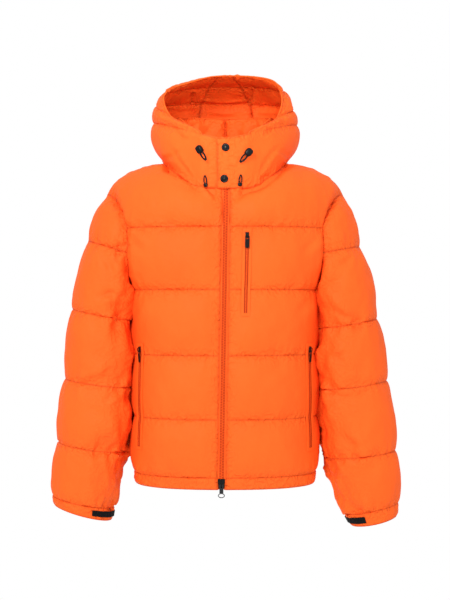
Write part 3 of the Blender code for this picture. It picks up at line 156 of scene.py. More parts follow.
# Hood lines over one half, from the front edge to the centre back: column, x, y, z.
HOOD_COLUMNS = 10
HOOD_LINES = {
    "right": (
        ((0, 9, -136, 40), (2, 48, -130, 49), (3, 78, -108, 60),
         (5, 143, 2, 88), (7, 112, 118, 86), (9, 0, 158, 82)),
        ((2, 112, -62, 98), (3, 124, -42, 106), (5, 138, 18, 124), (7, 96, 116, 142), (9, 0, 146, 148)),
        ((2, 122, -40, 138), (3, 121, -22, 144), (5, 108, 22, 156), (7, 66, 80, 171), (9, 0, 98, 176)),
        ((2, 115, -28, 150), (3, 100, -18, 158), (5, 66, 4, 172), (7, 31, 18, 184), (9, 0, 22, 187)),
    ),
    "left": (
        ((0, 9, -136, 40), (2, 48, -130, 49), (3, 78, -108, 60),
         (5, 144, 2, 84), (7, 112, 118, 84), (9, 0, 158, 82)),
        ((2, 106, -64, 92), (3, 120, -44, 100), (5, 136, 16, 116), (7, 98, 114, 140), (9, 0, 146, 148)),
        ((2, 114, -40, 132), (3, 117, -22, 142), (5, 112, 22, 158), (7, 68, 80, 173), (9, 0, 98, 176)),
        ((2, 112, -26, 148), (3, 105, -16, 165), (5, 78, 4, 180), (7, 34, 18, 186), (9, 0, 22, 187)),
    ),
}
HOOD_ROWS = (CHANNELS, (0, 0.15, 0.5, 0.85, 1), (0, 0.15, 0.5, 0.85, 1), (0, 0.3, 0.7, 1))
HOOD_PUFFS = (14.0, 9.0, 8.0, 7.0)
RIM_COLUMN, FLAP_SEAM, CENTRE_SEAM = 2, 3, 8
FLAP_LIFT = 5.0  # the outer flap lies this far in front of the inner one
FLAP_OVERLAP = 15.0

# Top edge of the collar over one half, at the neckline's columns: x, y, z.
COLLAR_TOP = (
    (9, -104, 34),
    (33, -101, 38),
    (50, -96, 46),
    (66, -84, 62),
    (90, -50, 88),
    (99, 0, 99),
    (93, 42, 104),
    (74, 66, 107),
    (40, 80, 108),
    (0, 84, 108),
)
COLLAR_SHARES = (0, 0.14, 0.4, 0.7, 0.92, 1)
COLLAR_PUFF = 5.0
COLLAR_SET_IN = SEAM_WALL + 0.9  # the collar's foot inside the neck seam
COLLAR_BULGE = 0.25

ZIP_TOP_X, ZIP_BOTTOM_X = 2.0, -7.0
ZIP_CHANNEL_HALF = 9.0
TAPE_THICK = 1.6
ZIP_SET_BACK = 1.2  # the tape's face behind the level of the seams
COLLAR_ZIP_TOP, COLLAR_ZIP_BOTTOM = 28.0, -46.0
COLLAR_ZIP_SET_BACK = 0.6

# Pockets on the fronts: side, first column, lowest height, highest height.
POCKETS = {
    "chest": (1, 1, -315, -141),
    "hand_right": (-1, 6, -588, -371),
    "hand_left": (1, 6, -590, -371),
}
WELT_LIFT, WELT_END = 0.6, 6.0  # the welt over its cloth, and from its end to the zip


def cubic(t, low, leave, high, arrive):
    """A point of the curve from low to high that leaves and arrives in the given directions."""
    return (
        (2 * t**3 - 3 * t**2 + 1) * low
        + (t**3 - 2 * t**2 + t) * leave
        + (3 * t**2 - 2 * t**3) * high
        + (t**3 - t**2) * arrive
    )


def smooth(keys, values, at):
    """A cubic curve through the rows of a table."""
    keys = np.asarray(keys, float)
    values = np.asarray(values, float)
    slopes = np.gradient(values, keys, axis=0)
    i = int(min(max(np.searchsorted(keys, at) - 1, 0), len(keys) - 2))
    span = keys[i + 1] - keys[i]
    t = (at - keys[i]) / span
    return cubic(t, values[i], span * slopes[i], values[i + 1], span * slopes[i + 1])


def unit(vector):
    return vector / max(np.linalg.norm(vector), 1e-9)


def crown(t):
    """Height of a quilted channel across its width, 0 at both lines of stitches and 1 between."""
    return math.sin(math.pi * min(max(t, 0.0), 1.0)) ** 0.6 if 0 < t < 1 else 0.0


def ease(t):
    t = min(max(t, 0.0), 1.0)
    return t * t * (3 - 2 * t)


def zip_x(z):
    """Where the front zip's middle runs at a height."""
    share = (z - QUILT_LEVELS[0]) / (NECKLINE[0][2] - QUILT_LEVELS[0])
    return ZIP_BOTTOM_X + (ZIP_TOP_X - ZIP_BOTTOM_X) * share


def zip_edge(side, z):
    """How far from the middle plane a front ends beside the zip."""
    return ZIP_CHANNEL_HALF + side * zip_x(z)


def ring(z):
    table = np.array(BODY_RINGS, float)
    return smooth(table[:, 0], table[:, 1:], z)


def armhole(angle, face):
    """A point on the armhole of the wearer's left, by its angle from the armpit; face is -1 in front."""
    turn = math.radians(angle)
    over = max(0.0, (angle - ARMHOLE_WAIST) / (180 - ARMHOLE_WAIST))
    x = ARMPIT_X + 8 * min(angle, ARMHOLE_WAIST) / ARMHOLE_WAIST + 46 * over
    depth = ARMHOLE_FRONT if face < 0 else ARMHOLE_BACK
    z = ARMHOLE_MIDDLE[2] - ARMHOLE_HALF_HEIGHT * math.cos(turn)
    return np.array((x, face * depth * math.sin(turn), z))


def armhole_angle(z):
    return math.degrees(math.acos(min(1, max(-1, (ARMHOLE_MIDDLE[2] - z) / ARMHOLE_HALF_HEIGHT))))


def armhole_direction(point):
    """Outward at the armhole, for a point of the wearer's left."""
    return unit(np.asarray(point) - np.array(ARMHOLE_MIDDLE))


def on_side(point, side):
    return np.array((point[0] * side, point[1], point[2]))


class Patch:
    """A sheet of points with faces between them: one panel of cloth at the level of its seams."""

    def __init__(self, name):
        self.name = name
        self.points = []
        self.puffs = []
        self.fixed = {}
        self.faces = []
        self.grid = {}
        self.stitched = set()
        self.hold = {}
        self.full = {}
        self.unrest = {}

    def add(self, key, point, puff=0.0, direction=None):
        self.grid[key] = len(self.points)
        if direction is not None:
            self.fixed[len(self.points)] = direction
        self.points.append(np.asarray(point, float))
        self.puffs.append(puff)

    def face(self, keys, flip=False):
        corners = [self.grid[key] for key in keys]
        self.faces.append(corners[::-1] if flip else corners)

    def cells(self, rows, columns, flip=False, side=1):
        """Faces from each row and column to the next; a front's columns count away from the zip."""
        for row in rows:
            for column in columns:
                near, far = side * column, side * (column + 1)
                self.face(((row, near), (row, far), (row + 1, far), (row + 1, near)), flip)

    def spot(self, point):
        return tuple(np.round(point, 2))

    def stitched_edges(self):
        """Edges along the rows that a line of stitches holds down."""
        keys = {index: key for key, index in self.grid.items()}
        found = set()
        for face in self.faces:
            for a, b in zip(face, face[1:] + face[:1]):
                if keys[a][0] == keys[b][0] and keys[a][0] in self.stitched:
                    found.add((min(a, b), max(a, b)))
        return found


def joined_normals(patches):
    """Gives each point the outward direction that its panels share there, and returns those by place."""
    total = {}
    for patch in patches:
        for face in patch.faces:
            a, b, c, d = (patch.points[i] for i in face)
            for i in face:
                spot = patch.spot(patch.points[i])
                total[spot] = total.get(spot, np.zeros(3)) + np.cross(c - a, d - b)
    outward = {spot: unit(direction) for spot, direction in total.items()}
    for patch in patches:
        patch.normals = [outward[patch.spot(p)] for p in patch.points]
        for i, direction in patch.fixed.items():
            patch.normals[i] = direction
    return outward


def boundary(faces):
    """Edges used once, each in the direction in which its face runs, with that face."""
    seen = {}
    for face in faces:
        for a, b in zip(face, list(face[1:]) + [face[0]]):
            seen[(a, b)] = face
    return {edge: face for edge, face in seen.items() if edge[::-1] not in seen}


# ---------------------------------------------------------------- body panels


def body_levels():
    """Rows from the hem seam to the yoke: height, share of its channel, channel number."""
    rows = []
    for channel in range(len(QUILT_LEVELS) - 1):
        low, high = QUILT_LEVELS[channel], QUILT_LEVELS[channel + 1]
        shares = CHEST_ROWS if low == ARMPIT_Z else CHANNELS
        for share in shares[:-1]:
            rows.append((low + (high - low) * share, share))
    rows.append((QUILT_LEVELS[-1], 0.0))
    return rows


def row_end(z, face):
    """Where a row ends: at the side seam, or on the armhole."""
    if z <= ARMPIT_Z:
        return ring(z)[0], 0.0
    point = armhole(armhole_angle(z), face)
    return point[0], abs(point[1])


def row_point(z, share, face, start):
    """A point of a level row; the start is the row's |x| at the centre."""
    _, front_depth, back_depth = ring(z)
    depth = front_depth if face < 0 else back_depth
    end_x, end_y = row_end(z, face)
    if share >= 1:
        return np.array((end_x, face * end_y, z))
    reach = end_x / (1 - (end_y / depth) ** ROUND) ** (1 / ROUND)
    x = start + (end_x - start) * share
    return np.array((x, face * depth * max(0, 1 - (x / reach) ** ROUND) ** (1 / ROUND), z))


def shoulder_point(share):
    table = np.array(SHOULDER_LINE, float)
    x = table[0, 0] + (table[-1, 0] - table[0, 0]) * share
    return np.array((x, 0.0, float(smooth(table[:, 0], table[:, 1:], x)[0])))


def yoke_top(column, face, start):
    """The yoke's upper edge: the neckline, then the shoulder seam."""
    neck_end = FRONT_NECK if face < 0 else BACK_NECK
    if column >= neck_end:
        return shoulder_point(SHOULDER_SHARES[column - neck_end])
    point = np.array(NECKLINE[column if face < 0 else len(NECKLINE) - 1 - column], float)
    if face < 0 and column == 0:
        point[0] = start
    return point


def yoke_point(column, columns, t, face, start):
    """A point of the yoke, on a curve that climbs the chest or back and turns over the shoulder."""
    neck_end = FRONT_NECK if face < 0 else BACK_NECK
    base_z = QUILT_LEVELS[-1]

    def climb(index):
        low = row_point(base_z, columns[index], face, start)
        high = yoke_top(index, face, start)
        length = np.linalg.norm(high - low) * YOKE_FULLNESS
        over = min(1.0, index / neck_end) ** 2
        leave = np.array((0, 0.02 * face, 1.0)) * length
        arrive = unit(np.array((0, -face * (0.15 + 0.85 * over), 1 - 0.85 * over))) * length
        return cubic(t, low, leave, high, arrive)

    point = climb(column)
    if column > neck_end:
        weight = SHOULDER_SHARES[column - neck_end] ** 2
        last = len(columns) - 1
        edge = armhole(YOKE_ANGLE + (180 - YOKE_ANGLE) * t, face)
        point = point + weight * (edge - climb(last))
    return point


def pocket_calm(side, column, z):
    """The quilting lies flatter round a pocket."""
    calm = 1.0
    for place, first, low, high in POCKETS.values():
        if place == side and low - 30 <= z <= high + 25:
            away = max(0, first - column, column - first - 1)
            calm = min(calm, (0.25, 0.8, 1)[min(away, 2)])
    return calm


def body_puff(side, column, columns, z, share, face):
    last = len(columns) - 1
    height = BODY_PUFF * crown(share)
    height *= 1 - 0.3 * columns[column] ** 3
    if face < 0:
        height *= (0.1, 0.8)[column] if column < 2 else 1
        height *= pocket_calm(side, column, z)
    if z > ARMPIT_Z - 60 and column >= last - 1:
        height *= 0.0 if column == last and z >= ARMPIT_Z else 0.5
    return height


def yoke_puff(column, columns, t, face):
    """The yoke is full over the shoulder and sewn down at the neckline and the armhole."""
    last = len(columns) - 1
    neck_end = FRONT_NECK if face < 0 else BACK_NECK
    if column == last or t <= 0:
        return 0.0
    full = crown(t) if t < 0.5 else 1 - 0.45 * ease(2 * t - 1)
    weight = 0.0 if column <= neck_end else (0.6, 0.9, 0.7)[column - neck_end - 1]
    height = BODY_PUFF * (crown(t) * (1 - weight) + full * weight)
    if weight == 0 and t > 0.8:
        height *= BESIDE_NECK
    return height * ((0.1, 0.8)[column] if face < 0 and column < 2 else 1)


def add_body_half(patch, side, face, columns):
    """Points of one half of a front or back panel, by row and signed column, and how many rows it has."""
    last = len(columns) - 1
    levels = body_levels()
    patch.stitched |= {row for row, (_, share) in enumerate(levels) if share == 0}
    rows = [(z, share, None) for z, share in levels] + [(NECKLINE[0][2], 0.0, t) for t in CHANNELS[1:]]
    for row, (z, share, t) in enumerate(rows):
        start = zip_edge(side, z) if face < 0 else 0.0
        for column in range(1 if face > 0 and side > 0 else 0, last + 1):
            if t is None:
                point = row_point(z, columns[column], face, start)
                puff = body_puff(side, column, columns, z, share, face)
            else:
                point = yoke_point(column, columns, t, face, start)
                puff = yoke_puff(column, columns, t, face)
            on_armhole = column == last and z >= ARMPIT_Z
            direction = on_side(armhole_direction(point), side) if on_armhole else None
            patch.add((row, side * column), on_side(point, side), puff, direction)
    return len(rows)


def front_patch(side):
    patch = Patch("front_left" if side > 0 else "front_right")
    rows = add_body_half(patch, side, -1, FRONT_COLUMNS)
    patch.cells(range(rows - 1), range(len(FRONT_COLUMNS) - 1), side < 0, side)
    return patch


def back_patch():
    patch = Patch("back")
    add_body_half(patch, -1, 1, BACK_COLUMNS)
    rows = add_body_half(patch, 1, 1, BACK_COLUMNS)
    last = len(BACK_COLUMNS) - 1
    patch.cells(range(rows - 1), range(-last, last), True)
    return patch


def hem_patches():
    """The flat band below the last line of stitches, in three pieces."""
    low, high = BODY_RINGS[0][0], BODY_RINGS[1][0]
    patches = []
    for name, face, sides, columns in (
        ("hem_front_right", -1, (-1,), FRONT_COLUMNS),
        ("hem_front_left", -1, (1,), FRONT_COLUMNS),
        ("hem_back", 1, (-1, 1), BACK_COLUMNS),
    ):
        patch = Patch(name)
        last = len(columns) - 1
        for row, share in enumerate(HEM_SHARES):
            z = low + (high - low) * share
            puff = HEM_PUFF if 0 < share < 1 else 0.0
            for side in sides:
                start = zip_edge(side, z) if face < 0 else 0.0
                for column in range(1 if face > 0 and side > 0 else 0, last + 1):
                    point = row_point(z, columns[column], face, start)
                    patch.add((row, side * column), on_side(point, side), puff)
        columns = range(-last if -1 in sides else 0, last if 1 in sides else 0)
        patch.cells(range(len(HEM_SHARES) - 1), columns, face > 0)
        patches.append(patch)
    return patches


# ---------------------------------------------------------------- sleeves


def ellipse_arc(front, back, outer, angle, phi):
    """A point on the ellipse that passes through a front point, an outer point and a back point."""
    turn = math.radians(angle)
    middle = (front + back) / 2
    reach = (outer - middle) / (1 + math.cos(turn))
    centre = outer - reach
    half = (back - front) / (2 * max(math.sin(turn), 1e-6))
    spin = math.radians(phi)
    return centre - reach * math.cos(spin) - half * math.sin(spin)


def sleeve_top_angles():
    """Angles along the top of the armhole, at the yoke's rows with a point between each pair."""
    rows = [YOKE_ANGLE + (180 - YOKE_ANGLE) * t for t in CHANNELS[1:]]
    corners = rows + [360 - a for a in rows[-2::-1]]
    angles = [corners[0]]
    for low, high in zip(corners, corners[1:]):
        angles += [(low + high) / 2, high]
    return angles


def armhole_round(phi):
    """A point on the whole armhole, with phi past 180 on its back half."""
    return armhole(phi, -1) if phi <= 180 else armhole(360 - phi, 1)


def sleeve_patch(name, side, which):
    """A sleeve from the armhole to the cuff seam, closed below the armpit."""
    patch = Patch(name)
    columns = SLEEVE_COLUMNS
    top_angles = sleeve_top_angles()
    cap_x, cap_z, pit_x, pit_z = SLEEVE_CAPS[which]
    tip = armhole(180, -1)
    quilt_outer = np.array((cap_x, 0, cap_z), float)
    pit_outer = np.array((pit_x, 0, pit_z), float)
    row = 0
    # The top row lies on the armhole itself, straight between the yoke's rows.
    for column, phi in enumerate(top_angles):
        if column % 2:
            ends = [armhole_round(top_angles[column + k]) for k in (-1, 1)]
            point = (ends[0] + ends[1]) / 2
            direction = (armhole_direction(ends[0]) + armhole_direction(ends[1])) / 2
        else:
            point = armhole_round(phi)
            direction = armhole_direction(point)
        patch.add((row, column), on_side(point, side), 0.0, on_side(direction, side))
    angles_above = [YOKE_ANGLE]
    for share in CHEST_ROWS[-2:QUILT_ONE_ROW - 1:-1]:
        angles_above.append(armhole_angle(ARMPIT_Z + (QUILT_LEVELS[-1] - ARMPIT_Z) * share))
    for step, angle in enumerate(angles_above):
        row += 1
        t = (SLEEVE_TOP_ANGLE - angle) / (SLEEVE_TOP_ANGLE - angles_above[-1])
        outer = tip + (quilt_outer - tip) * t
        channel = t if step < len(angles_above) - 1 else 0.0
        add_sleeve_arc(patch, row, side, angle, outer, t, top_angles, channel)
    chest = QUILT_LEVELS[-1] - ARMPIT_Z
    angles_below = [armhole_angle(ARMPIT_Z + chest * s) for s in CHEST_ROWS[QUILT_ONE_ROW - 1::-1]]
    start_angle = angles_above[-1]
    for angle in angles_below:
        row += 1
        t = 1 - angle / start_angle
        outer = quilt_outer + (pit_outer - quilt_outer) * t
        add_sleeve_arc(patch, row, side, angle, outer, 1.0, top_angles, ARMPIT_SHARE * t)
    pit_row = row
    patch.stitched.add(len(angles_above))
    previous = (pit_x, pit_z, *ARMPIT_RING)
    for index, level in enumerate(SLEEVES[which][:4]):
        shares = (0.3, 0.6, 0.85, 1) if index == 0 else CHANNELS[1:]
        for share in shares:
            row += 1
            values = [a + (b - a) * share for a, b in zip(previous, level)]
            channel = ARMPIT_SHARE + (1 - ARMPIT_SHARE) * share if index == 0 else share
            before, after = (0.0, *NEST_LEVELS)[index], NEST_LEVELS[index]
            nest = before + (after - before) * share
            add_sleeve_ring(patch, row, side, values, channel, nest, row - pit_row)
        patch.stitched.add(row)
        previous = level
    for r in range(row):
        for column in range(columns):
            a, b = (r, column), (r, column + 1)
            c, d = (r + 1, column + 1), (r + 1, column)
            if r + 1 >= pit_row and column == columns - 1:
                c = (r + 1, 0)
                b = (r, 0) if r >= pit_row else b
            patch.face((a, b, c, d), side > 0)
    return patch


def add_sleeve_arc(patch, row, side, angle, outer, even, top_angles, channel):
    """One row of the sleeve cap, from the front of the armhole over the arm to its back."""
    columns = SLEEVE_COLUMNS
    front, back = armhole(angle, -1), armhole(angle, 1)
    closed = angle < 0.01
    first, last = top_angles[0], top_angles[-1]
    for column in range(columns if closed else columns + 1):
        crowded = (top_angles[column] - first) / (last - first)
        share = crowded + (column / columns - crowded) * even
        phi = angle + (360 - 2 * angle) * share
        if closed and column:
            point = sleeve_ring_point((outer[0], outer[2], *ARMPIT_RING), phi)
        elif closed:
            point = front
        else:
            set_back = np.array((0, SLEEVE_SET_BACK * even, 0))
            point = ellipse_arc(front, back, outer + set_back, angle, phi)
        edge = column in (0, columns)
        direction = on_side(armhole_direction(point), side) if edge else None
        from_edge = min(column, columns - column)
        height = 0.0 if edge else SLEEVE_PUFF * crown(channel) * min(1, 0.55 + from_edge * 0.25)
        if closed and column in (1, columns - 1):
            height *= 0.5
        patch.add((row, column), on_side(point, side), height, direction)


def sleeve_ring_point(values, phi):
    outer_x, outer_z, inner_x, inner_z, middle_y, half_depth = values
    outer = np.array((outer_x, middle_y, outer_z), float)
    inner = np.array((inner_x, middle_y, inner_z), float)
    middle, reach = (outer + inner) / 2, (outer - inner) / 2
    spin = math.radians(phi)
    return middle - reach * math.cos(spin) - np.array((0, half_depth, 0)) * math.sin(spin)


def add_sleeve_ring(patch, row, side, values, channel, nest, below_pit):
    """A closed row; nest is how far its inner side follows the body round."""
    for column in range(SLEEVE_COLUMNS):
        phi = 360 * column / SLEEVE_COLUMNS
        point = sleeve_ring_point(values, phi)
        point[0] -= nest * SLEEVE_NEST.get(column, 0.0)
        height = SLEEVE_PUFF * crown(channel)
        if math.cos(math.radians(phi)) > 0.5:
            height *= 0.55 if below_pit > 3 else 0.2
        patch.add((row, column), on_side(point, side), height)


def cuff_patch(name, side, which):
    patch = Patch(name)
    start, end = SLEEVES[which][3], SLEEVES[which][4]
    for row, share in enumerate(CUFF_SHARES):
        values = [a + (b - a) * share for a, b in zip(start, end)]
        for column in range(SLEEVE_COLUMNS):
            point = sleeve_ring_point(values, 360 * column / SLEEVE_COLUMNS)
            patch.add((row, column), on_side(point, side), CUFF_PUFF if 0 < share < 1 else 0.0)
    for row in range(len(CUFF_SHARES) - 1):
        for column in range(SLEEVE_COLUMNS):
            after = (column + 1) % SLEEVE_COLUMNS
            patch.face(((row, column), (row, after), (row + 1, after), (row + 1, column)), side > 0)
    return patch


# ---------------------------------------------------------------- hood and collar


def hood_line(which, line, column, side):
    """A point on one of the hood's lines of stitches; line 0 is the neckline."""
    if line == 0:
        point = np.array(NECKLINE[column], float)
        if column == 0:
            point[0] = zip_edge(side, NECKLINE[0][2])
        return point
    table = np.array(HOOD_LINES[which][line - 1], float)
    return smooth(table[:, 0], table[:, 1:], column)


def hood_point(which, line, share, column, side):
    """A point between two lines of stitches, on one smooth curve from the neckline to the rim."""
    if column < RIM_COLUMN:
        low, high = hood_line(which, 0, column, side), hood_line(which, 1, column, side)
        return low + (high - low) * share
    points = [hood_line(which, k, column, side) for k in range(5)]
    steps = [np.linalg.norm(b - a) for a, b in zip(points, points[1:])]
    keys = np.concatenate([[0], np.cumsum(steps)])
    return smooth(keys, points, keys[line] + (keys[line + 1] - keys[line]) * share)


def hood_rows():
    """Rows from the neckline to the rim: the line of stitches below, and the share of the way to the next."""
    rows = [(line, share) for line, shares in enumerate(HOOD_ROWS) for share in shares[:-1]]
    return rows + [(len(HOOD_ROWS) - 1, 1.0)]


def hood_puff(line, share, column):
    height = HOOD_PUFFS[line] * crown(share)
    if column <= FLAP_SEAM and line == 0:
        return 1.5 * crown(share) if RIM_COLUMN <= column < FLAP_SEAM else 0.0
    if column == RIM_COLUMN:
        return 0.0
    if line == 0 and share < 0.2:
        height *= BESIDE_NECK
    return height * (0.5 if column in (FLAP_SEAM, CENTRE_SEAM) else 1.0)


def hood_patches():
    """Hood panels: flat fronts, quilted sides and the centre panel that runs from neck to rim."""
    rows = hood_rows()
    stitched = {row for row, (_, share) in enumerate(rows) if share == 0}
    first_row_above = len(HOOD_ROWS[0]) - 1
    last = HOOD_COLUMNS - 1
    patches = []
    for side, which in SIDES:
        flap = Patch("hood_front_" + which)
        panel = Patch("hood_side_" + which)
        panel.stitched = stitched
        for row, (line, share) in enumerate(rows):
            for column in range(FLAP_SEAM if row < first_row_above else RIM_COLUMN, CENTRE_SEAM + 1):
                point = hood_point(which, line, share, column, side)
                panel.add((row, column), on_side(point, side), hood_puff(line, share, column))
        panel.cells(range(first_row_above), range(FLAP_SEAM, CENTRE_SEAM), side < 0)
        panel.cells(range(first_row_above, len(rows) - 1), range(RIM_COLUMN, CENTRE_SEAM), side < 0)
        for row, share in enumerate(HOOD_ROWS[0]):
            for column in range(-1, FLAP_SEAM + 1):
                point, puff = flap_point(which, share, column, side)
                flap.add((row, column), on_side(point, side), puff)
        flap.cells(range(first_row_above), range(-1, FLAP_SEAM), side < 0)
        patches += [flap, panel]
    centre = Patch("hood_centre")
    centre.stitched = stitched
    for row, (line, share) in enumerate(rows):
        for signed in (-1, 0, 1):
            column = last - abs(signed)
            side = signed if signed else 1
            which = "left" if side > 0 else "right"
            point = hood_point(which, line, share, column, side)
            centre.add((row, signed), on_side(point, side), hood_puff(line, share, column))
    centre.cells(range(len(rows) - 1), (-1, 0), True)
    patches.append(centre)
    return patches


def flap_point(which, share, column, side):
    """A point of the chin flap; the wearer's left flap lies over the right one."""
    point = hood_point(which, 0, share, max(column, 0), side)
    if column < 0:
        point[0] = -FLAP_OVERLAP * (1 if side > 0 else 0.75)
    if side > 0:
        point[1] -= FLAP_LIFT * (1, 1, 0.85, 0, 0)[column + 1]
    return point, hood_puff(0, share, max(column, 0))


def collar_patches(outward):
    """The stand collar, set in from the neck seam against that seam's outward directions."""
    patches = []
    for side, which in SIDES:
        patch = Patch("collar_" + which)
        for column in range(HOOD_COLUMNS):
            base = hood_line(which, 0, column, side)
            top = np.array(COLLAR_TOP[column], float)
            if column == 0:
                top[0] = ZIP_CHANNEL_HALF + side * ZIP_TOP_X
            away = outward[patch.spot(on_side(base, side))]
            base = base - on_side(away, side) * COLLAR_SET_IN
            lean = np.array((base[0] - top[0], base[1] - top[1], 0))
            for row, share in enumerate(COLLAR_SHARES):
                bulge = COLLAR_BULGE * math.sin(math.pi * share) * (1 - share)
                full = COLLAR_PUFF * (0.3 if column in (1, HOOD_COLUMNS - 1) else 1.0)
                puff = 0.0 if column == 0 else full * crown(share)
                point = base + (top - base) * share - lean * bulge
                patch.add((row, column), on_side(point, side), puff)
        patch.cells(range(len(COLLAR_SHARES) - 1), range(HOOD_COLUMNS - 1), side < 0)
        patches.append(patch)
    return patches


# ---------------------------------------------------------------- fine mesh


def gathered(count, index, values):
    """Sums the rows of values into count rows, once for each column of the index."""
    total = np.zeros((count, values.shape[1]))
    for column in index.T:
        np.add.at(total, column, values)
    return total


def counted(count, index):
    """How often each of count numbers is in the index."""
    return np.bincount(index.ravel(), minlength=count)[:, None]


class Cloth:
    """A mesh of quads with values at its points, which can be refined again and again."""

    def __init__(self, values, quads, owner, sharp):
        self.values, self.quads, self.owner = values, quads, owner
        ends = np.sort(np.stack([quads, np.roll(quads, -1, axis=1)], axis=2).reshape(-1, 2), axis=1)
        self.edges, sides = np.unique(ends, axis=0, return_inverse=True)
        self.sides = sides.reshape(-1, 4)  # each quad's four edges, by number
        self.lookup = {tuple(edge): i for i, edge in enumerate(self.edges.tolist())}
        self.sharp = np.zeros(len(self.edges), bool)
        for a, b in sharp:
            self.sharp[self.lookup[(min(a, b), max(a, b))]] = True
        self.uses = counted(len(self.edges), self.sides)
        self.rim = self.uses[:, 0] == 1
        self.sharp |= self.rim

    def refined(self, values=None):
        """One step of Catmull-Clark: points, then edges' points, then faces' points."""
        values = self.values if values is None else values
        count = len(values)
        faces = values[self.quads].mean(axis=1)
        middles = values[self.edges].mean(axis=1)
        beside = gathered(len(self.edges), self.sides, faces)
        on_edges = np.where(self.sharp[:, None], middles, middles / 2 + beside / self.uses / 2)
        around = gathered(count, self.quads, faces)
        spokes = gathered(count, self.edges, middles)
        ends = self.edges[self.sharp]
        hard = gathered(count, ends[:, :1], values[ends[:, 1]])
        np.add.at(hard, ends[:, 1], values[ends[:, 0]])
        n = np.maximum(counted(count, self.quads), 1)
        soft = (around / n + 2 * spokes / np.maximum(counted(count, self.edges), 1) + (n - 3) * values) / n
        crease = (hard + 6 * values) / 8
        pick = counted(count, ends)
        on_points = np.where(pick < 2, soft, np.where(pick == 2, crease, values))
        return np.concatenate([on_points, on_edges, faces])

    def finer(self, values=None):
        """The refined mesh as a new Cloth, with the same owners and sharp edges."""
        points = self.refined(values)
        first_edge, first_face = len(self.values), len(self.values) + len(self.edges)
        q, s = self.quads, self.sides + first_edge
        middle = np.arange(len(q)) + first_face
        quads = np.stack([
            np.stack([q[:, k], s[:, k], middle, s[:, k - 1]], axis=1) for k in range(4)
        ], axis=1).reshape(-1, 4)
        sharp = []
        for i in np.nonzero(self.sharp & ~self.rim)[0]:
            a, b = self.edges[i]
            sharp += [(a, first_edge + i), (b, first_edge + i)]
        return Cloth(points, quads, np.repeat(self.owner, 4), sharp)

    def finer_line(self, line):
        """The same line of points in the refined mesh."""
        result = [line[0]]
        for a, b in zip(line, line[1:]):
            result += [len(self.values) + self.lookup[(min(a, b), max(a, b))], b]
        return result


def through_points(cloth, steps, rounds=4):
    """Moves the control points so that the refined mesh passes through where they were."""
    target = cloth.values.copy()
    values = target.copy()
    for _ in range(rounds):
        current = cloth.finer(values)
        for _ in range(steps - 1):
            current = current.finer()
        values = values + (target - current.values[: len(target)])
    return values


def weld(patches):
    """All panels as one mesh. Values: seam-level point, outer point, hold, fullness, unrest."""
    spots, rows, quads, owner, sharp = {}, [], [], [], []
    for number, patch in enumerate(patches):
        index = []
        for i, point in enumerate(patch.points):
            spot = patch.spot(point)
            if spot not in spots:
                spots[spot] = len(rows)
                outer = point + patch.normals[i] * patch.puffs[i]
                extra = (patch.hold.get(i, 0.0), patch.full.get(i, 1.0), patch.unrest.get(i, 1.0))
                rows.append([*point, *outer, *extra])
            index.append(spots[spot])
        patch.index = index
        for face in patch.faces:
            quads.append([index[i] for i in face])
            owner.append(number)
        for a, b in patch.stitched_edges():
            sharp.append((index[a], index[b]))
        sharp += [(index[a], index[b]) for a, b in boundary(patch.faces)]
    return Cloth(np.array(rows), np.array(quads), np.array(owner), sharp)


def surface_normals(points, quads):
    across = np.cross(points[quads[:, 2]] - points[quads[:, 0]], points[quads[:, 3]] - points[quads[:, 1]])
    total = gathered(len(points), quads, across)
    return total / np.maximum(np.linalg.norm(total, axis=1), 1e-9)[:, None]


# How the cloth behaves while it settles over its filling.
CLOTH_BEHAVIOUR = {
    "quality": 5,
    "mass": 0.02,
    "air_damping": 3.0,
    "tension_stiffness": 20.0,
    "compression_stiffness": 20.0,
    "shear_stiffness": 8.0,
    "bending_stiffness": 0.05,
    "tension_damping": 8.0,
    "compression_damping": 8.0,
    "shear_damping": 8.0,
    "bending_damping": 1.0,
    "vertex_group_mass": "pin",
    "use_pressure": True,
    "vertex_group_pressure": "press",
    "vertex_group_shrink": "slack",
    "shrink_min": 0.0,
}


def place_in_scene(name, data):
    """A new object of the scene that holds the data."""
    obj = bpy.data.objects.new(name, data)
    bpy.context.scene.collection.objects.link(obj)
    return obj


def puffed(points, quads, pinned, full, sizes):
    """Blows the cloth out between its pinned lines; where it is full it takes more pressure and slack."""
    mesh = bpy.data.meshes.new("settling")
    mesh.from_pydata((points * MM).tolist(), [], quads.tolist())
    obj = place_in_scene("settling", mesh)
    for name, weights in (("pin", pinned.astype(float)), ("press", full), ("slack", full)):
        group = obj.vertex_groups.new(name=name)
        weights = np.round(weights, 2)
        for step in np.unique(weights):
            group.add(np.nonzero(weights == step)[0].tolist(), float(step), "REPLACE")
    modifier = obj.modifiers.new("cloth", "CLOTH")
    settings = modifier.settings
    for key, value in CLOTH_BEHAVIOUR.items():
        setattr(settings, key, value)
    settings.effector_weights.gravity = 0.0
    settings.uniform_pressure_force = sizes.pressure
    settings.shrink_max = -sizes.slack
    modifier.collision_settings.use_collision = False
    modifier.point_cache.frame_start = 1
    modifier.point_cache.frame_end = sizes.settle_frames
    scene = bpy.context.scene
    for number in range(1, sizes.settle_frames + 1):
        scene.frame_set(number)
    result = obj.evaluated_get(bpy.context.evaluated_depsgraph_get()).to_mesh()
    moved = np.empty(len(result.vertices) * 3, np.float32)
    result.vertices.foreach_get("co", moved)
    bpy.data.objects.remove(obj)
    scene.frame_set(1)
    return moved.reshape(-1, 3).astype(float) / MM


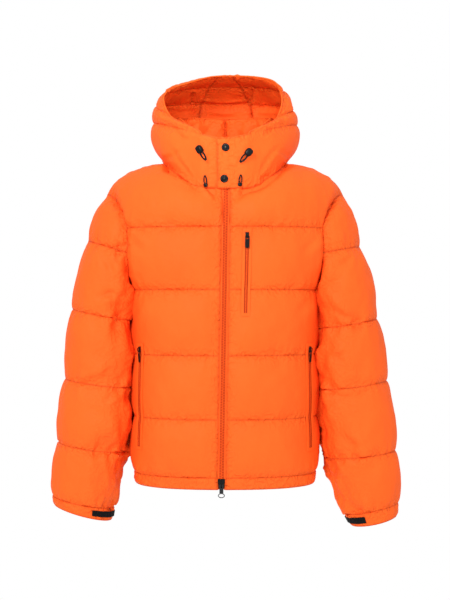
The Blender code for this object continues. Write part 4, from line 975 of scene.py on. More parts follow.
def panel_wall(name, panel, outer, inner, same_inside=False):
    """One panel of cloth as a closed wall with round free edges.

    outer is the coarse cloth, the fine cloth and the fine outer points. inner holds the coarse
    cloth's inner points, or the fine cloth's where same_inside is true.
    """
    coarse, fine, outside = outer
    points, number = [], {}

    def place(kind, index, spot):
        key = (kind, int(index))
        if key not in number:
            number[key] = len(points)
            points.append(spot)
        return number[key]

    faces = [[place("out", i, outside[i]) for i in quad] for quad in fine.quads[fine.owner == panel]]
    coarse_quads = coarse.quads[coarse.owner == panel]
    inside_quads = fine.quads[fine.owner == panel] if same_inside else coarse_quads
    faces += [[place("in", i, inner[i]) for i in quad[::-1]] for quad in inside_quads]
    edges = boundary([list(q) for q in coarse_quads.tolist()])
    middle = {e: len(coarse.values) + coarse.lookup[(min(e), max(e))] for e in edges}
    away = {}
    for (a, b), face in edges.items():
        along = unit(outside[b] - outside[a])
        push = (outside[a] + outside[b]) / 2 - outside[list(face)].mean(axis=0)
        push = unit(push - along * np.dot(push, along))
        for i in (a, middle[(a, b)], b):
            away[i] = away.get(i, 0) + push
    rings = {}

    def add_ring(index, twin):
        """Points round the free edge, from the outer point to its twin inside."""
        if index in rings:
            return
        half = (outside[index] - twin) / 2
        flat = away[index] - unit(half) * np.dot(away[index], unit(half))
        reach = unit(flat) * np.linalg.norm(half)
        rings[index] = []
        for k, turn in enumerate(math.pi * share for share in (0.2, 0.5, 0.8)):
            spot = (outside[index] + twin) / 2 + half * math.cos(turn) + reach * math.sin(turn)
            rings[index].append(place(f"rim{k}", index, spot))

    free = {e for e in edges if coarse.rim[coarse.lookup[(min(e), max(e))]]}
    for a, b in free:
        add_ring(a, inner[a])
        add_ring(b, inner[b])
        m = middle[(a, b)]
        add_ring(m, inner[m] if same_inside else (inner[a] + inner[b]) / 2)
    for a, b in edges:
        m = middle[(a, b)]
        out_a, out_m, out_b = (place("out", i, outside[i]) for i in (a, m, b))
        in_a, in_b = place("in", a, inner[a]), place("in", b, inner[b])
        if (a, b) not in free:
            inside = [in_a, place("in", m, inner[m]), in_b] if same_inside else [in_a, in_b]
            faces.append([out_b, out_m, out_a, *rings.get(a, []), *inside, *rings.get(b, [])[::-1]])
            continue
        lines = [[out_a, *rings[a]], [out_m, *rings[m]], [out_b, *rings[b]]]
        if same_inside:
            for line, end in zip(lines, (in_a, place("in", m, inner[m]), in_b)):
                line.append(end)
        else:
            faces.append([lines[2][-1], lines[1][-1], lines[0][-1], in_a, in_b])
        for k in range(len(lines[0]) - 1):
            for left, right in zip(lines, lines[1:]):
                faces.append([right[k], left[k], left[k + 1], right[k + 1]])
    obj = mesh_piece(name, points, faces)
    return obj, number


def finished(name, shape, mesh, sharp):
    """The bmesh as a smooth-shaded object, with its faces turned outward."""
    bmesh.ops.recalc_face_normals(shape, faces=shape.faces)
    shape.to_mesh(mesh)
    shape.free()
    mesh.shade_smooth()
    mesh.set_sharp_from_angle(angle=math.radians(sharp))
    return place_in_scene(name, mesh)


def mesh_piece(name, points, faces, sharp=55):
    """A mesh object from points in millimetres."""
    mesh = bpy.data.meshes.new(name)
    mesh.from_pydata((np.asarray(points, float) * MM).tolist(), [], [list(map(int, f)) for f in faces])
    shape = bmesh.new()
    shape.from_mesh(mesh)
    return finished(name, shape, mesh, sharp)


# ---------------------------------------------------------------- materials

FINISHES = {}


class Wiring:
    """Adds nodes to a tree and joins them."""

    def __init__(self, tree):
        self.tree = tree

    def add(self, kind, sockets=(), **settings):
        node = self.tree.nodes.new("ShaderNode" + kind)
        for key, value in settings.items():
            setattr(node, key, value)
        for socket, value in dict(sockets).items():
            if isinstance(value, bpy.types.NodeSocket):
                self.join(value, node.inputs[socket])
            else:
                node.inputs[socket].default_value = value
        return node

    def join(self, output, socket):
        self.tree.links.new(output, socket)

    def math(self, operation, first, second=0.0):
        return self.add("Math", {0: first, 1: second}, operation=operation).outputs[0]

    def effect(self, name, **sockets):
        """A placed copy of one of the shared node groups: its outputs."""
        return self.add("Group", sockets, node_tree=bpy.data.node_groups[name]).outputs

    def spread(self, value, low, high, to_low=0.0, to_high=1.0):
        """Stretches a value from one range to another, held inside it."""
        sockets = {0: value, 1: low, 2: high, 3: to_low, 4: to_high}
        return self.add("MapRange", sockets).outputs[0]

    def noise(self, where, scale, detail=3.0):
        return self.add("TexNoise", {"Vector": where, "Scale": scale, "Detail": detail}).outputs[0]


def new_group(name, inputs, outputs):
    """An empty shader node group with named sockets: its wiring, its inputs and its output node."""
    tree = bpy.data.node_groups.new(name, "ShaderNodeTree")
    for label, kind, value in inputs:
        socket = tree.interface.new_socket(label, in_out="INPUT", socket_type="NodeSocket" + kind)
        if value is not None:
            socket.default_value = value
    for label, kind in outputs:
        tree.interface.new_socket(label, in_out="OUTPUT", socket_type="NodeSocket" + kind)
    wiring = Wiring(tree)
    start = tree.nodes.new("NodeGroupInput").outputs
    return wiring, start, tree.nodes.new("NodeGroupOutput").inputs


def build_effects():
    """The node groups that the materials share."""
    place = [("Place", "Vector", None)]

    sockets = place + [("Scale", "Float", 60.0), ("Seam", "Float", 0.0)]
    wiring, start, end = new_group("crumple", sockets, [("Height", "Float")])
    broad = wiring.noise(start["Place"], start["Scale"], 2.0)
    fine = wiring.noise(start["Place"], wiring.math("MULTIPLY", start["Scale"], 2.1), 1.5)
    fold = wiring.math("ABSOLUTE", wiring.math("SUBTRACT", fine, 0.5))
    sharp = wiring.math("SUBTRACT", 1.0, wiring.spread(fold, 0.0, 0.12))
    beside = wiring.spread(wiring.math("POWER", start["Seam"], 0.13), 0.12, 0.75, 0.08, 1.0)
    sharp = wiring.math("MULTIPLY", sharp, beside)
    wiring.join(wiring.math("ADD", sharp, wiring.math("MULTIPLY", broad, 0.9)), end["Height"])

    sockets = place + [("Threads", "Float", 900.0)]
    wiring, start, end = new_group("plain_weave", sockets, [("Height", "Float")])
    threads = {"Vector": start["Place"], "Scale": start["Threads"]}
    waves = [wiring.add("TexWave", threads, bands_direction=axis).outputs[1] for axis in "XYZ"]
    woven = wiring.math("ADD", wiring.math("ADD", waves[0], waves[1]), waves[2])
    wiring.join(wiring.math("MULTIPLY", woven, 0.33), end["Height"])

    sockets = place + [("Base", "Color", (1, 1, 1, 1)), ("Shade", "Color", (0, 0, 0, 1))]
    sockets += [("Seam", "Float", 0.0), ("Depth", "Float", 0.5)]
    wiring, start, end = new_group("cloth_tone", sockets, [("Color", "Color")])
    cloudy = wiring.spread(wiring.noise(start["Place"], 9.0, 3.0), 0.4, 0.7, 0.0, 0.07)
    # Painted shade: whatever the Seam input marks takes the Shade colour, up to Depth; on the cloth that is
    # shade in seam and pucker troughs and at the bottoms of creases.
    thread = wiring.math("MULTIPLY", wiring.spread(start["Seam"], 0.12, 0.95), start["Depth"])
    worn = wiring.spread(wiring.noise(start["Place"], 160.0, 2.0), 0.55, 0.75, 0.0, 0.05)
    share = wiring.math("MAXIMUM", wiring.math("ADD", cloudy, worn), thread)
    mix = wiring.add("Mix", {0: share, 6: start["Base"], 7: start["Shade"]}, data_type="RGBA")
    wiring.join(mix.outputs[2], end["Color"])

    sockets = place + [("Scale", "Float", 300.0), ("Smooth", "Float", 0.3), ("Rough", "Float", 0.6)]
    wiring, start, end = new_group("handled", sockets, [("Roughness", "Float"), ("Height", "Float")])
    grain = wiring.noise(start["Place"], start["Scale"], 4.0)
    span = wiring.math("SUBTRACT", start["Rough"], start["Smooth"])
    wiring.join(wiring.math("ADD", start["Smooth"], wiring.math("MULTIPLY", grain, span)), end["Roughness"])
    wiring.join(grain, end["Height"])


def new_finish(name, roughness=0.5, **constants):
    """A material, its wiring, its shader and the object's own coordinates."""
    material = bpy.data.materials.new(name)
    material.use_nodes = True
    wiring = Wiring(material.node_tree)
    shader = material.node_tree.nodes["Principled BSDF"]
    shader.inputs["Roughness"].default_value = roughness
    for socket, value in constants.items():
        shader.inputs[socket.replace("_", " ")].default_value = value
    FINISHES[name] = material
    return wiring, shader, wiring.add("TexCoord").outputs["Object"]


def raise_surface(wiring, shader, layers):
    """Bumps one over the other: height, how far it stands out in millimetres, strength."""
    normal = None
    for height, distance, strength in layers:
        sockets = {"Height": height, "Distance": distance * MM, "Strength": strength}
        if normal:
            sockets["Normal"] = normal
        normal = wiring.add("Bump", sockets).outputs["Normal"]
    wiring.join(normal, shader.inputs["Normal"])


def tone(wiring, shader, place, base, shade, **marks):
    """The colour, clouded and worn a little towards its shade colour at random; marks given as Seam add
    painted shade.
    """
    toned = wiring.effect("cloth_tone", Place=place, Base=(*base, 1), Shade=(*shade, 1), **marks)
    wiring.join(toned["Color"], shader.inputs["Base Color"])


def cloth_finish(name, base, shade, cloth, crumple, weave, depth=0.46):
    """Woven nylon: tone with painted shade from the shade attribute, soft crumple that is strongest beside
    the seams, and the weave.
    """
    wiring, shader, place = new_finish(name, cloth.roughness, Specular_IOR_Level=cloth.gloss)
    # The shade attribute is painted shade at seams, creases and pucker troughs; the seam attribute only
    # shapes the crumple.
    seam, painted_shade = (wiring.add("Attribute", attribute_name=key).outputs["Fac"] for key in ("seam", "shade"))
    tone(wiring, shader, place, base, shade, Seam=painted_shade, Depth=depth)
    folds = wiring.effect("crumple", Place=place, Scale=cloth.crumple_scale, Seam=seam)
    threads = wiring.effect("plain_weave", Place=place, Threads=weave)
    raise_surface(wiring, shader, [(folds["Height"], crumple, 0.8), (threads["Height"], 0.05, 0.25)])


def hard_finish(name, colour, smooth, rough, scale, bump=0.02, **constants):
    """Metal or moulded plastic that has been handled."""
    wiring, shader, place = new_finish(name, **constants)
    used = wiring.effect("handled", Place=place, Scale=scale, Smooth=smooth, Rough=rough)
    wiring.join(used["Roughness"], shader.inputs["Roughness"])
    tone(wiring, shader, place, colour, [c * 0.6 for c in colour])
    raise_surface(wiring, shader, [(used["Height"], bump, 0.4)])


def build_finishes(cloth, trims):
    build_effects()
    shell, shade, black = cloth.shell_colour, cloth.shade_colour, trims.black_colour
    cloth_finish("shell_cloth", shell, shade, cloth, cloth.crumple, 700.0)
    # The zip tapes take their painted shade nearly at full depth.
    cloth_finish("tape_cloth", [c * 0.9 for c in shell], shade, cloth, 0.12, 1400.0, depth=0.85)
    cloth_finish("thread", [c * 0.72 for c in shell], shade, cloth, 0.05, 2500.0)
    hard_finish("tooth_plastic", [c * 0.95 for c in shell], 0.5, 0.7, 900.0, Specular_IOR_Level=0.08)
    hard_finish("gunmetal", trims.metal_colour, 0.22, 0.45, 400.0, Metallic=0.9)
    hard_finish("bright_metal", trims.ring_colour, 0.18, 0.4, 400.0, Metallic=1.0)
    hard_finish("black_plastic", black, 0.16, 0.36, 500.0, bump=0.05, Specular_IOR_Level=0.14)
    hard_finish("black_rubber", black, 0.3, 0.5, 700.0, bump=0.04, Specular_IOR_Level=0.14)

    wiring, shader, place = new_finish("braided_cord", 0.75, Specular_IOR_Level=0.25)
    weave = wiring.effect("plain_weave", Place=place, Threads=1500.0)
    tone(wiring, shader, place, black, (0.012, 0.012, 0.013))
    raise_surface(wiring, shader, [(weave["Height"], 0.25, 0.8)])

    wiring, shader, place = new_finish("hook_tape", 0.9, Specular_IOR_Level=0.15)
    hooks = wiring.add("TexVoronoi", {"Vector": place, "Scale": 700.0})
    knots = wiring.spread(hooks.outputs["Distance"], 0.1, 0.6, 1.0, 0.0)
    tone(wiring, shader, place, black, (0.014, 0.014, 0.014))
    raise_surface(wiring, shader, [(knots, 0.5, 0.9)])


def mark(obj, name, values):
    """Gives every point of a mesh a value that the materials read."""
    obj.data.attributes.new(name, "FLOAT", "POINT").data.foreach_set("value", values)


def dress(obj, finish, node=None, body=ROOT):
    """Gives a piece its finish and its body, and hides the CAD node that it stands for."""
    obj.data.materials.clear()
    obj.data.materials.append(FINISHES[finish])
    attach(obj, body)
    if node:
        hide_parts(node)


# ---------------------------------------------------------------- padded panels

STEPS = 2  # refinements of the solids' own points before the cloth is puffed
MOST_MOVE = 8.0  # cap on how far the simulation moves a point
INNER_PUFF, INNER_FULL = 1.1, 0.8  # how full hood and collar are inside, as shares of their outside
# Heights, and how far the sleeves' inner folds swell there into the gap beside the body.
GAP_FILL = ((-575, -545, -500, -410, -215, -195), (0, 14, 16, 14, 12, 0))
HOOD_PUFF, HOOD_LIFT = 0.6, 6.0  # flatter channels than the solids have, over seams that stand further out
COLLAR_FULL = 0.5
FLAT_PIECES = ("hem", "cuff", "hood_front")
UNREST = {"front": 0.75, "back": 1.0, "hem": 0.5, "cuff": 0.6, "hood": 0.6, "collar": 1.3}
FLAP_UNREST, SLEEVE_UNREST, SLEEVE_INNER_UNREST = 0.25, 0.85, 2.2
LOOSE_CRUMPLE = 4e-4  # how far the crumple of a seam reaches into the sleeves' loose inner folds
WALL_CLEAR, WALL_DEPTH = 0.35, 9.0  # cloth under the pieces that lie on it, and how deep they may have sunk
SHELL = {}  # what the shell leaves for the pieces that lie on it

PUCKER_START = 5.0  # where the folds that run out from a seam reach their full height
CREASE_DEPTH = 1.9  # scale of the listed creases' depths
CREASE_FULL, CREASE_TONE = 14.0, 0.4  # the depth of full shade, and the most shade that a crease takes
CREASE_BEND = 3.0  # how far a crease bows to one side
RIDGE_HEIGHT, RIDGE_AWAY = 0.55, 1.7  # the ridge beside a crease, in shares of its depth and half width
# Creases, listed one by one: the panels' first word, the face (-1 in front, 1 behind), then the lines: x and
# z of one end, x and z of the other, depth and half width.
CREASES = (
    ("sleeve_right", -1, (
        (-238, -66, -202, -99, 2.2, 7), (-252, -186, -222, -232, 1.8, 8), (-222, -268, -262, -282, 2.0, 7),
        (-232, -330, -205, -352, 2.4, 6), (-300, -452, -236, -436, 1.6, 9), (-218, -468, -250, -496, 2.2, 7),
        (-246, -590, -282, -612, 1.6, 8),
    )),
    ("sleeve_right", 1, (
        (-250, -200, -214, -232, 2.0, 8), (-226, -352, -270, -372, 2.0, 8), (-300, -520, -244, -496, 1.8, 9),
    )),
    ("sleeve_left", -1, (
        (236, -72, 206, -108, 2.0, 7), (222, -214, 262, -196, 1.8, 8), (216, -300, 258, -322, 2.2, 7),
        (214, -402, 250, -386, 2.2, 6), (232, -486, 296, -470, 1.6, 9), (240, -560, 276, -586, 1.8, 8),
    )),
    ("sleeve_left", 1, (
        (222, -222, 262, -250, 2.0, 8), (290, -410, 236, -390, 1.8, 9), (250, -540, 300, -560, 1.8, 9),
    )),
    ("front_right", -1, (
        (-196, -150, -162, -186, 1.5, 8), (-168, -276, -188, -330, 1.3, 9), (-16, -82, -44, -44, 3.4, 6),
        (-26, -66, -70, -30, 3.6, 6), (-60, -46, -128, -14, 4.6, 7), (-84, -20, -146, 6, 3.6, 6),
    )),
    ("hood_", -1, (
        (-112, 34, -66, -36, 2.2, 3.5), (-128, 6, -92, 22, 1.8, 5), (-100, -30, -74, -52, 2.0, 5),
        (-98, 62, -78, 40, 2.0, 4),
    )),
    ("front_left", -1, (
        (194, -152, 158, -192, 1.5, 8), (176, -280, 146, -318, 1.3, 9), (20, -84, 52, -40, 3.4, 6),
        (52, -52, 118, -18, 4.6, 7), (84, -24, 146, 2, 3.6, 6), (34, -66, 92, -46, 2.8, 6),
    )),
    ("hood_", -1, (
        (112, 34, 70, -30, 2.2, 3.5), (132, 10, 98, 24, 1.8, 5), (96, -30, 72, -46, 2.0, 5),
        (100, 66, 82, 44, 2.0, 4),
    )),
    ("front_left", -1, (
        (120, -412, 84, -438, 1.0, 10),
    )),
    ("back", 1, (
        (-190, -160, -140, -206, 1.8, 10), (186, -150, 132, -196, 1.8, 10), (-60, -290, -20, -352, 1.4, 12),
        (96, -420, 52, -486, 1.4, 12), (-150, -548, -100, -600, 1.4, 10), (20, -64, 92, -92, 1.4, 12),
    )),
)
INNER_CREASES = (  # on the lining of hood and collar, where the photograph looks into it
    ("hood_", -1, (
        (-68, 182, -64, 108, 5.0, 3.5), (60, 180, 57, 108, 5.0, 3.5), (-62, 149, 54, 149, 3.0, 4),
        (-130, 128, -66, 134, 2.6, 5), (124, 130, 60, 138, 2.6, 5), (-40, 126, 26, 122, 2.2, 5),
    )),
    ("collar", -1, (
        (1, 108, 6, 40, 4.0, 3.5), (-62, 100, -68, 52, 3.6, 5), (-34, 92, -42, 46, 3.4, 5),
        (36, 98, 34, 48, 3.4, 5), (66, 92, 54, 50, 4.0, 5), (88, 84, 62, 56, 3.6, 5),
        (-92, 88, -70, 58, 3.2, 5),
    )),
)


def jacket_panels():
    """The same panels as the solids have, with the shared directions at their seams."""
    shell = [front_patch(-1), front_patch(1), back_patch()] + hem_patches()
    for side, which in SIDES:
        shell.append(sleeve_patch("sleeve_" + which, side, which))
        shell.append(cuff_patch("cuff_" + which, side, which))
    hood = hood_patches()
    collar = collar_patches(joined_normals(shell + hood))
    joined_normals(collar)
    return shell, hood, collar


def mark_holds(patches):
    """Where cloth stays at the solids' own level, how full it is and how restless its folds are."""
    def points_of(*starts):
        return np.array([q for p in patches if p.name.startswith(starts) for q in p.points])

    body = points_of("front", "back")
    beside_hood = points_of("hood_front", "collar", "front", "back")
    for patch in patches:
        first = patch.name.split("_")[0]
        side = 1 if patch.name.endswith("left") else -1
        for (_, column), index in patch.grid.items():
            point, normal = patch.points[index], patch.normals[index]
            patch.full[index] = 0.0 if patch.name.startswith(FLAT_PIECES) else 1.0
            patch.unrest[index] = UNREST.get(first, 1.0)
            if first == "collar":
                patch.full[index] = COLLAR_FULL
            if first == "front":
                patch.unrest[index] *= ease((abs(point[0]) - 20) / 60) * 0.8 + 0.2
                for place, start, low, high in POCKETS.values():
                    beside = place == side and abs(column) in (start, start + 1)
                    if beside and low - 20 <= point[2] <= high + 12:
                        patch.hold[index] = 1.0
                        patch.unrest[index] = 0.0
            if first == "sleeve":
                away = np.linalg.norm(body - point, axis=1).min()
                patch.full[index] = 0.35 + 0.65 * ease((away - 8) / 40)
                inwards = max(0.0, -side * normal[0] + 0.25)
                patch.unrest[index] = SLEEVE_UNREST + SLEEVE_INNER_UNREST * inwards
                if inwards > 0.5:
                    patch.puffs[index] += np.interp(point[2], *GAP_FILL) * min(1.0, inwards)
            if patch.name.startswith("hood_front"):
                patch.unrest[index] = FLAP_UNREST
            elif first == "hood":
                away = np.linalg.norm(beside_hood - point, axis=1).min()
                patch.points[index] = point + normal * HOOD_LIFT * ease((away - 6) / 30)
                patch.puffs[index] *= HOOD_PUFF


def ripple(point, wide, tall):
    """Uneven folds that run up and down, from -1 to 1."""
    first = noise.noise(Vector((point[0] / wide, point[1] / wide, point[2] / tall)))
    second = noise.noise(Vector((point[0] / wide * 2.3, point[1] / wide * 2.3, point[2] / tall * 2 + 7)))
    return first + 0.5 * second


def seam_waves(cloth, plain, sizes):
    """How near each point is to a seam, and the small folds that run out from all but the plain points."""
    points = cloth.values[:, :3]
    spots = np.setdiff1d(np.unique(cloth.edges[cloth.sharp]), plain)
    tree = KDTree(len(spots))
    waves = {}
    for spot in spots:
        at = Vector(points[spot])
        tree.insert(at, int(spot))
        rough = 0.35 + 1.3 * abs(noise.noise(at / 70))
        waves[int(spot)] = rough * (noise.noise(at / 13) + 0.6 * noise.noise(at / 6))
    tree.balance()
    lifts, near_seam = np.zeros(len(points)), np.zeros(len(points))
    reach = sizes.pucker_reach
    for i, point in enumerate(points):
        (_, first, near), (_, second, far) = tree.find_n(Vector(point), 2)
        near_seam[i] = math.exp(-near / sizes.seam_width)
        if near > 3.5 * reach:
            continue
        blend = near / max(near + far, 1e-6)
        wave = waves[first] * (1 - blend) + waves[second] * blend
        profile = ease(near / PUCKER_START) * math.exp(-max(0.0, near - PUCKER_START) / reach)
        lifts[i] = wave * profile * cloth.values[i, 8] * sizes.pucker_depth
    return near_seam, lifts[:, None]


def lay_creases(points, normals, owner_of, names, creases, shade):
    """Creases as troughs with a low ridge beside each; shade takes the deeper tone at their bottoms."""
    for name, face, lines in creases:
        owners = [number for number, other in enumerate(names) if other.startswith(name)]
        owned = np.isin(owner_of, owners)
        for x, z, end_x, end_z, depth, half_width in lines:
            depth = depth * CREASE_DEPTH
            start = np.array((x, z), float)
            along = np.array((end_x, end_z), float) - start
            length = np.linalg.norm(along)
            along /= length
            chosen = np.nonzero(owned & (normals[:, 1] * face > 0.15))[0]
            flat = points[chosen][:, (0, 2)] - start
            share = flat @ along / length
            across = flat @ np.array((-along[1], along[0])) + CREASE_BEND * np.sin(share * math.pi)
            taper = np.clip(np.sin(np.clip(share, 0, 1) * math.pi), 0, 1) ** 0.6
            trough = np.exp(-((across / half_width) ** 2))
            ridge = RIDGE_HEIGHT * np.exp(-(((across - RIDGE_AWAY * half_width) / half_width) ** 2))
            points[chosen] += normals[chosen] * ((ridge - trough) * taper * depth)[:, None]
            line = np.exp(-((across / (0.75 * half_width)) ** 2)) * taper
            shade[chosen] = np.maximum(shade[chosen], line * min(CREASE_TONE, depth / CREASE_FULL))
    return points


def tree_of(meshes):
    """The faces of some meshes for casting rays on them, and their corners, in millimetres."""
    corners, faces = [], []
    for mesh in meshes:
        base = len(corners)
        corners += [tuple(v.co / MM) for v in mesh.vertices]
        faces += [tuple(base + i for i in p.vertices) for p in mesh.polygons]
    return BVHTree.FromPolygons(corners, faces), corners


def keep_below(points, normals, nodes):
    """Presses the cloth under the pieces that lie on it, so that none of them sinks in."""
    tree, corners = tree_of(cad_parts[node].data for node in nodes)
    low, high = np.min(corners, axis=0) - 12, np.max(corners, axis=0) + 12
    for i in np.nonzero(((points > low) & (points < high)).all(axis=1))[0]:
        normal = Vector(normals[i])
        start = Vector(points[i]) - normal * WALL_DEPTH
        hit, _, _, far = tree.ray_cast(start, normal, WALL_DEPTH + 6)
        if hit is not None and far < WALL_DEPTH + WALL_CLEAR:
            points[i] -= normals[i] * (WALL_DEPTH + WALL_CLEAR - far)
    return points


def settle(start, quads, pinned, full, sizes):
    """The simulated cloth, with no point more than MOST_MOVE from where it began."""
    step = puffed(start, quads, pinned, full, sizes) - start
    size = np.linalg.norm(step, axis=1)
    return start + step * np.minimum(1, MOST_MOVE / np.maximum(size, 1e-6))[:, None]


def loose_folds(cloth, pinned, sizes):
    """How far each point starts in or out, so that every channel begins with slack folds."""
    values = cloth.values
    lifts = np.array([ripple(p, 24, 52) for p in values[:, :3]])
    crumpled = np.array([ripple(p, 13, 17) for p in values[:, :3]]) * np.maximum(0, values[:, 8] - 1.2)
    lifts = (lifts * values[:, 8] + 0.45 * crumpled) * sizes.fold_depth * ~pinned * (values[:, 7] > 0.02)
    return lifts[:, None]


def refined_levels(panels):
    """The welded panels and their refinements, of which the last one is puffed."""
    control = weld(panels)
    control.values[:, :6] = through_points(control, STEPS)[:, :6]
    levels = [control]
    for _ in range(STEPS):
        levels.append(levels[-1].finer())
    return levels


def puff_both_sides(coarse, lined, sizes):
    """The outer and the inner points of the cloth over its filling; where it is lined, both are soft."""
    level, start = coarse.values[:, :3], coarse.values[:, 3:6]
    outward = surface_normals(level, coarse.quads)
    used, quads = np.unique(coarse.quads[lined], return_inverse=True)
    quads = quads.reshape(-1, 4)[:, ::-1]
    puff = np.einsum("ij,ij->i", start - level, outward)
    inner = level - outward * SEAM_WALL
    inner[used] -= (outward * puff[:, None] * INNER_PUFF)[used]
    pinned = np.zeros(len(start), bool)
    pinned[coarse.edges[coarse.sharp].ravel()] = True
    pinned |= coarse.values[:, 6] > 0.97
    full = np.clip(coarse.values[:, 7], 0, 1)
    lifts = loose_folds(coarse, pinned, sizes)
    outer = settle(start + outward * lifts, coarse.quads, pinned, full, sizes)
    inner[used] = settle((inner - outward * lifts)[used], quads, pinned[used], full[used] * INNER_FULL, sizes)
    return outer, level, inner


def make_shell(sizes):
    """All panels of cloth as one mesh that is puffed, creased and then cut into its pieces."""
    shell, hood, collar = jacket_panels()
    panels = shell + hood + collar
    names = [p.name for p in panels]
    mark_holds(panels)
    levels = refined_levels(panels)
    coarse = levels[-1]
    lined = np.isin(coarse.owner, np.arange(len(shell), len(panels)))
    outer, level, inner = puff_both_sides(coarse, lined, sizes)
    fine = coarse.finer(np.concatenate([outer, level, coarse.values[:, 6:], inner], axis=1))
    outside, inside = fine.values[:, :3], fine.values[:, 9:12]
    owner_of = np.zeros(len(outside), int)
    owner_of[fine.quads.ravel()] = np.repeat(fine.owner, 4)
    normals = surface_normals(outside, fine.quads)
    beside = []  # points of the flaps, then of the hood's sides: they share the seam that stays smooth
    for part in ("hood_front_", "hood_side_"):
        owners = [names.index(part + which) for which in ("right", "left")]
        beside.append(np.unique(fine.quads[np.isin(fine.owner, owners)]))
    seam, waves = seam_waves(fine, np.intersect1d(*beside), sizes)
    # Painted shade: the colour darkens along the seams and in the troughs of the puckers, and lay_creases
    # adds the bottoms of the creases.
    trough = np.clip(-waves[:, 0] / sizes.pucker_depth - 0.1, 0, 0.35)
    shades = [np.maximum(seam, trough) for _ in range(2)]
    outside = lay_creases(outside + normals * waves, normals, owner_of, names, CREASES, shades[0])
    inside = lay_creases(inside - normals * waves, -normals, owner_of, names, INNER_CREASES, shades[1])
    outside = keep_below(outside, surface_normals(outside, fine.quads), RESTING)
    normals = surface_normals(outside, fine.quads)
    SHELL.update(panels={p.name: p for p in panels}, levels=levels + [fine], outside=outside, normals=normals)
    for number, patch in enumerate(panels):
        same = number >= len(shell)
        lining = inside if same else inner
        obj, index = panel_wall(patch.name + "_quilted", number, (coarse, fine, outside), lining, same)
        marks = np.zeros((2, len(obj.data.vertices)), np.float32)
        for (kind, i), spot in index.items():
            if kind == "out" or (same and kind == "in"):
                loose = LOOSE_CRUMPLE * ease((fine.values[i, 8] - 1.5) / 1.2)
                marks[:, spot] = max(seam[i], loose), shades[kind == "in"][i]
        mark(obj, "seam", marks[0])
        mark(obj, "shade", marks[1])
        dress(obj, "shell_cloth", patch.name)
        SHELL[patch.name] = obj


# ---------------------------------------------------------------- pieces that lie on the cloth

TOGGLES = ("lock_right", "lock_left", "cord_end_right", "cord_end_left")
RESTING = (
    [pocket + kind for pocket in POCKETS for kind in ("_welt", "_zip")]
    + ["cuff_tab_right", "cuff_tab_left", "snap_upper", "snap_lower"]
    + list(TOGGLES)
)
STITCH_WIDE, STITCH_SUNK = 0.55, 0.25
PLACKET_STITCHES = 13.5  # the row of top stitches beside the zip, from the zip's middle
BEVEL_FROM = math.radians(28)  # edges sharper than this are rounded

# Half of a tape's section from its outer edge to the chain: offset across, and depth behind its face.
TAPE_HALF = (
    (8.2, 0.25), (7.8, 0), (7.0, 0), (5.2, 0), (4.6, 0), (4.3, -0.35), (3.5, -0.35), (0.25, -0.15),
)
TAPE_ROWS = 12.0  # distance between the tape's rows of points
# Painted shade: outside this strip, at the tape's edges and under the chain of teeth, the tape takes the
# darker shade tone of the grooves there.
TAPE_PLAIN = (4.5, 7.5)  # the strip of a tape that keeps the shell's tone, between its darker edges

# Where each snap sits, and the direction that it faces.
SNAP_SEATS = {
    "snap_upper": ((1.0, -139.143, 21.957), (0.0, -0.9926, -0.1215)),
    "snap_lower": ((-1.5, -131.551, -40.043), (0.0, -0.9926, -0.1215)),
}
SNAP_OUTLINE = (  # radius and rise of the cap, from its foot to its middle
    (7.9, 0.0), (8.0, 0.5), (7.8, 1.0), (7.2, 1.5), (6.4, 1.75), (5.9, 1.72), (5.6, 1.5),
    (5.2, 1.45), (4.4, 1.62), (3.0, 1.8), (1.4, 1.88), (0.0, 1.9),
)
SNAP_RISE = 2.6  # how far the middle stands out once the outline's rises are stretched
SNAP_SEGMENTS = 48

# Each loop of cord: its width, length, thickness and how far it lies in front of its toggle's middle.
UPPER_LOOP, LOWER_LOOP = (12, 18.5, 3.4, 4.6), (9, 15, 2.4, 3.2)
# Where it leaves its toggle, the direction outward and the direction up.
CORD_LOOPS = {
    "lock_right": (
        (-45.326, -133.263, 12.229), (-0.537, -0.839, -0.0876), (-0.5137, 0.2429, 0.8229), UPPER_LOOP,
    ),
    "lock_left": (
        (41.863, -134.361, 7.193), (0.1738, -0.9741, -0.1448), (0.6676, 0.0085, 0.7444), UPPER_LOOP,
    ),
    "cord_end_right": (
        (-38.963, -124.292, -48.26), (-0.1228, -0.9851, -0.1203), (0.0667, 0.1128, -0.9914), LOWER_LOOP,
    ),
    "cord_end_left": (
        (30.197, -129.173, -47.223), (0.0788, -0.9892, -0.1237), (-0.097, 0.1159, -0.9885), LOWER_LOOP,
    ),
}
CORD_POINTS = 33
TOGGLE_GROW = (1.3, 1.15, 1.3)  # the toggles against the solids that they stand for


def frame_at(point, outward, up):
    """A matrix in millimetres: local -Y looks outward and +Z climbs."""
    y = -unit(np.asarray(outward, float))
    z = np.asarray(up, float)
    z = unit(z - y * np.dot(z, y))
    matrix = np.eye(4)
    matrix[:3, 0], matrix[:3, 1], matrix[:3, 2], matrix[:3, 3] = np.cross(y, z), y, z, point
    return Matrix(matrix.tolist())


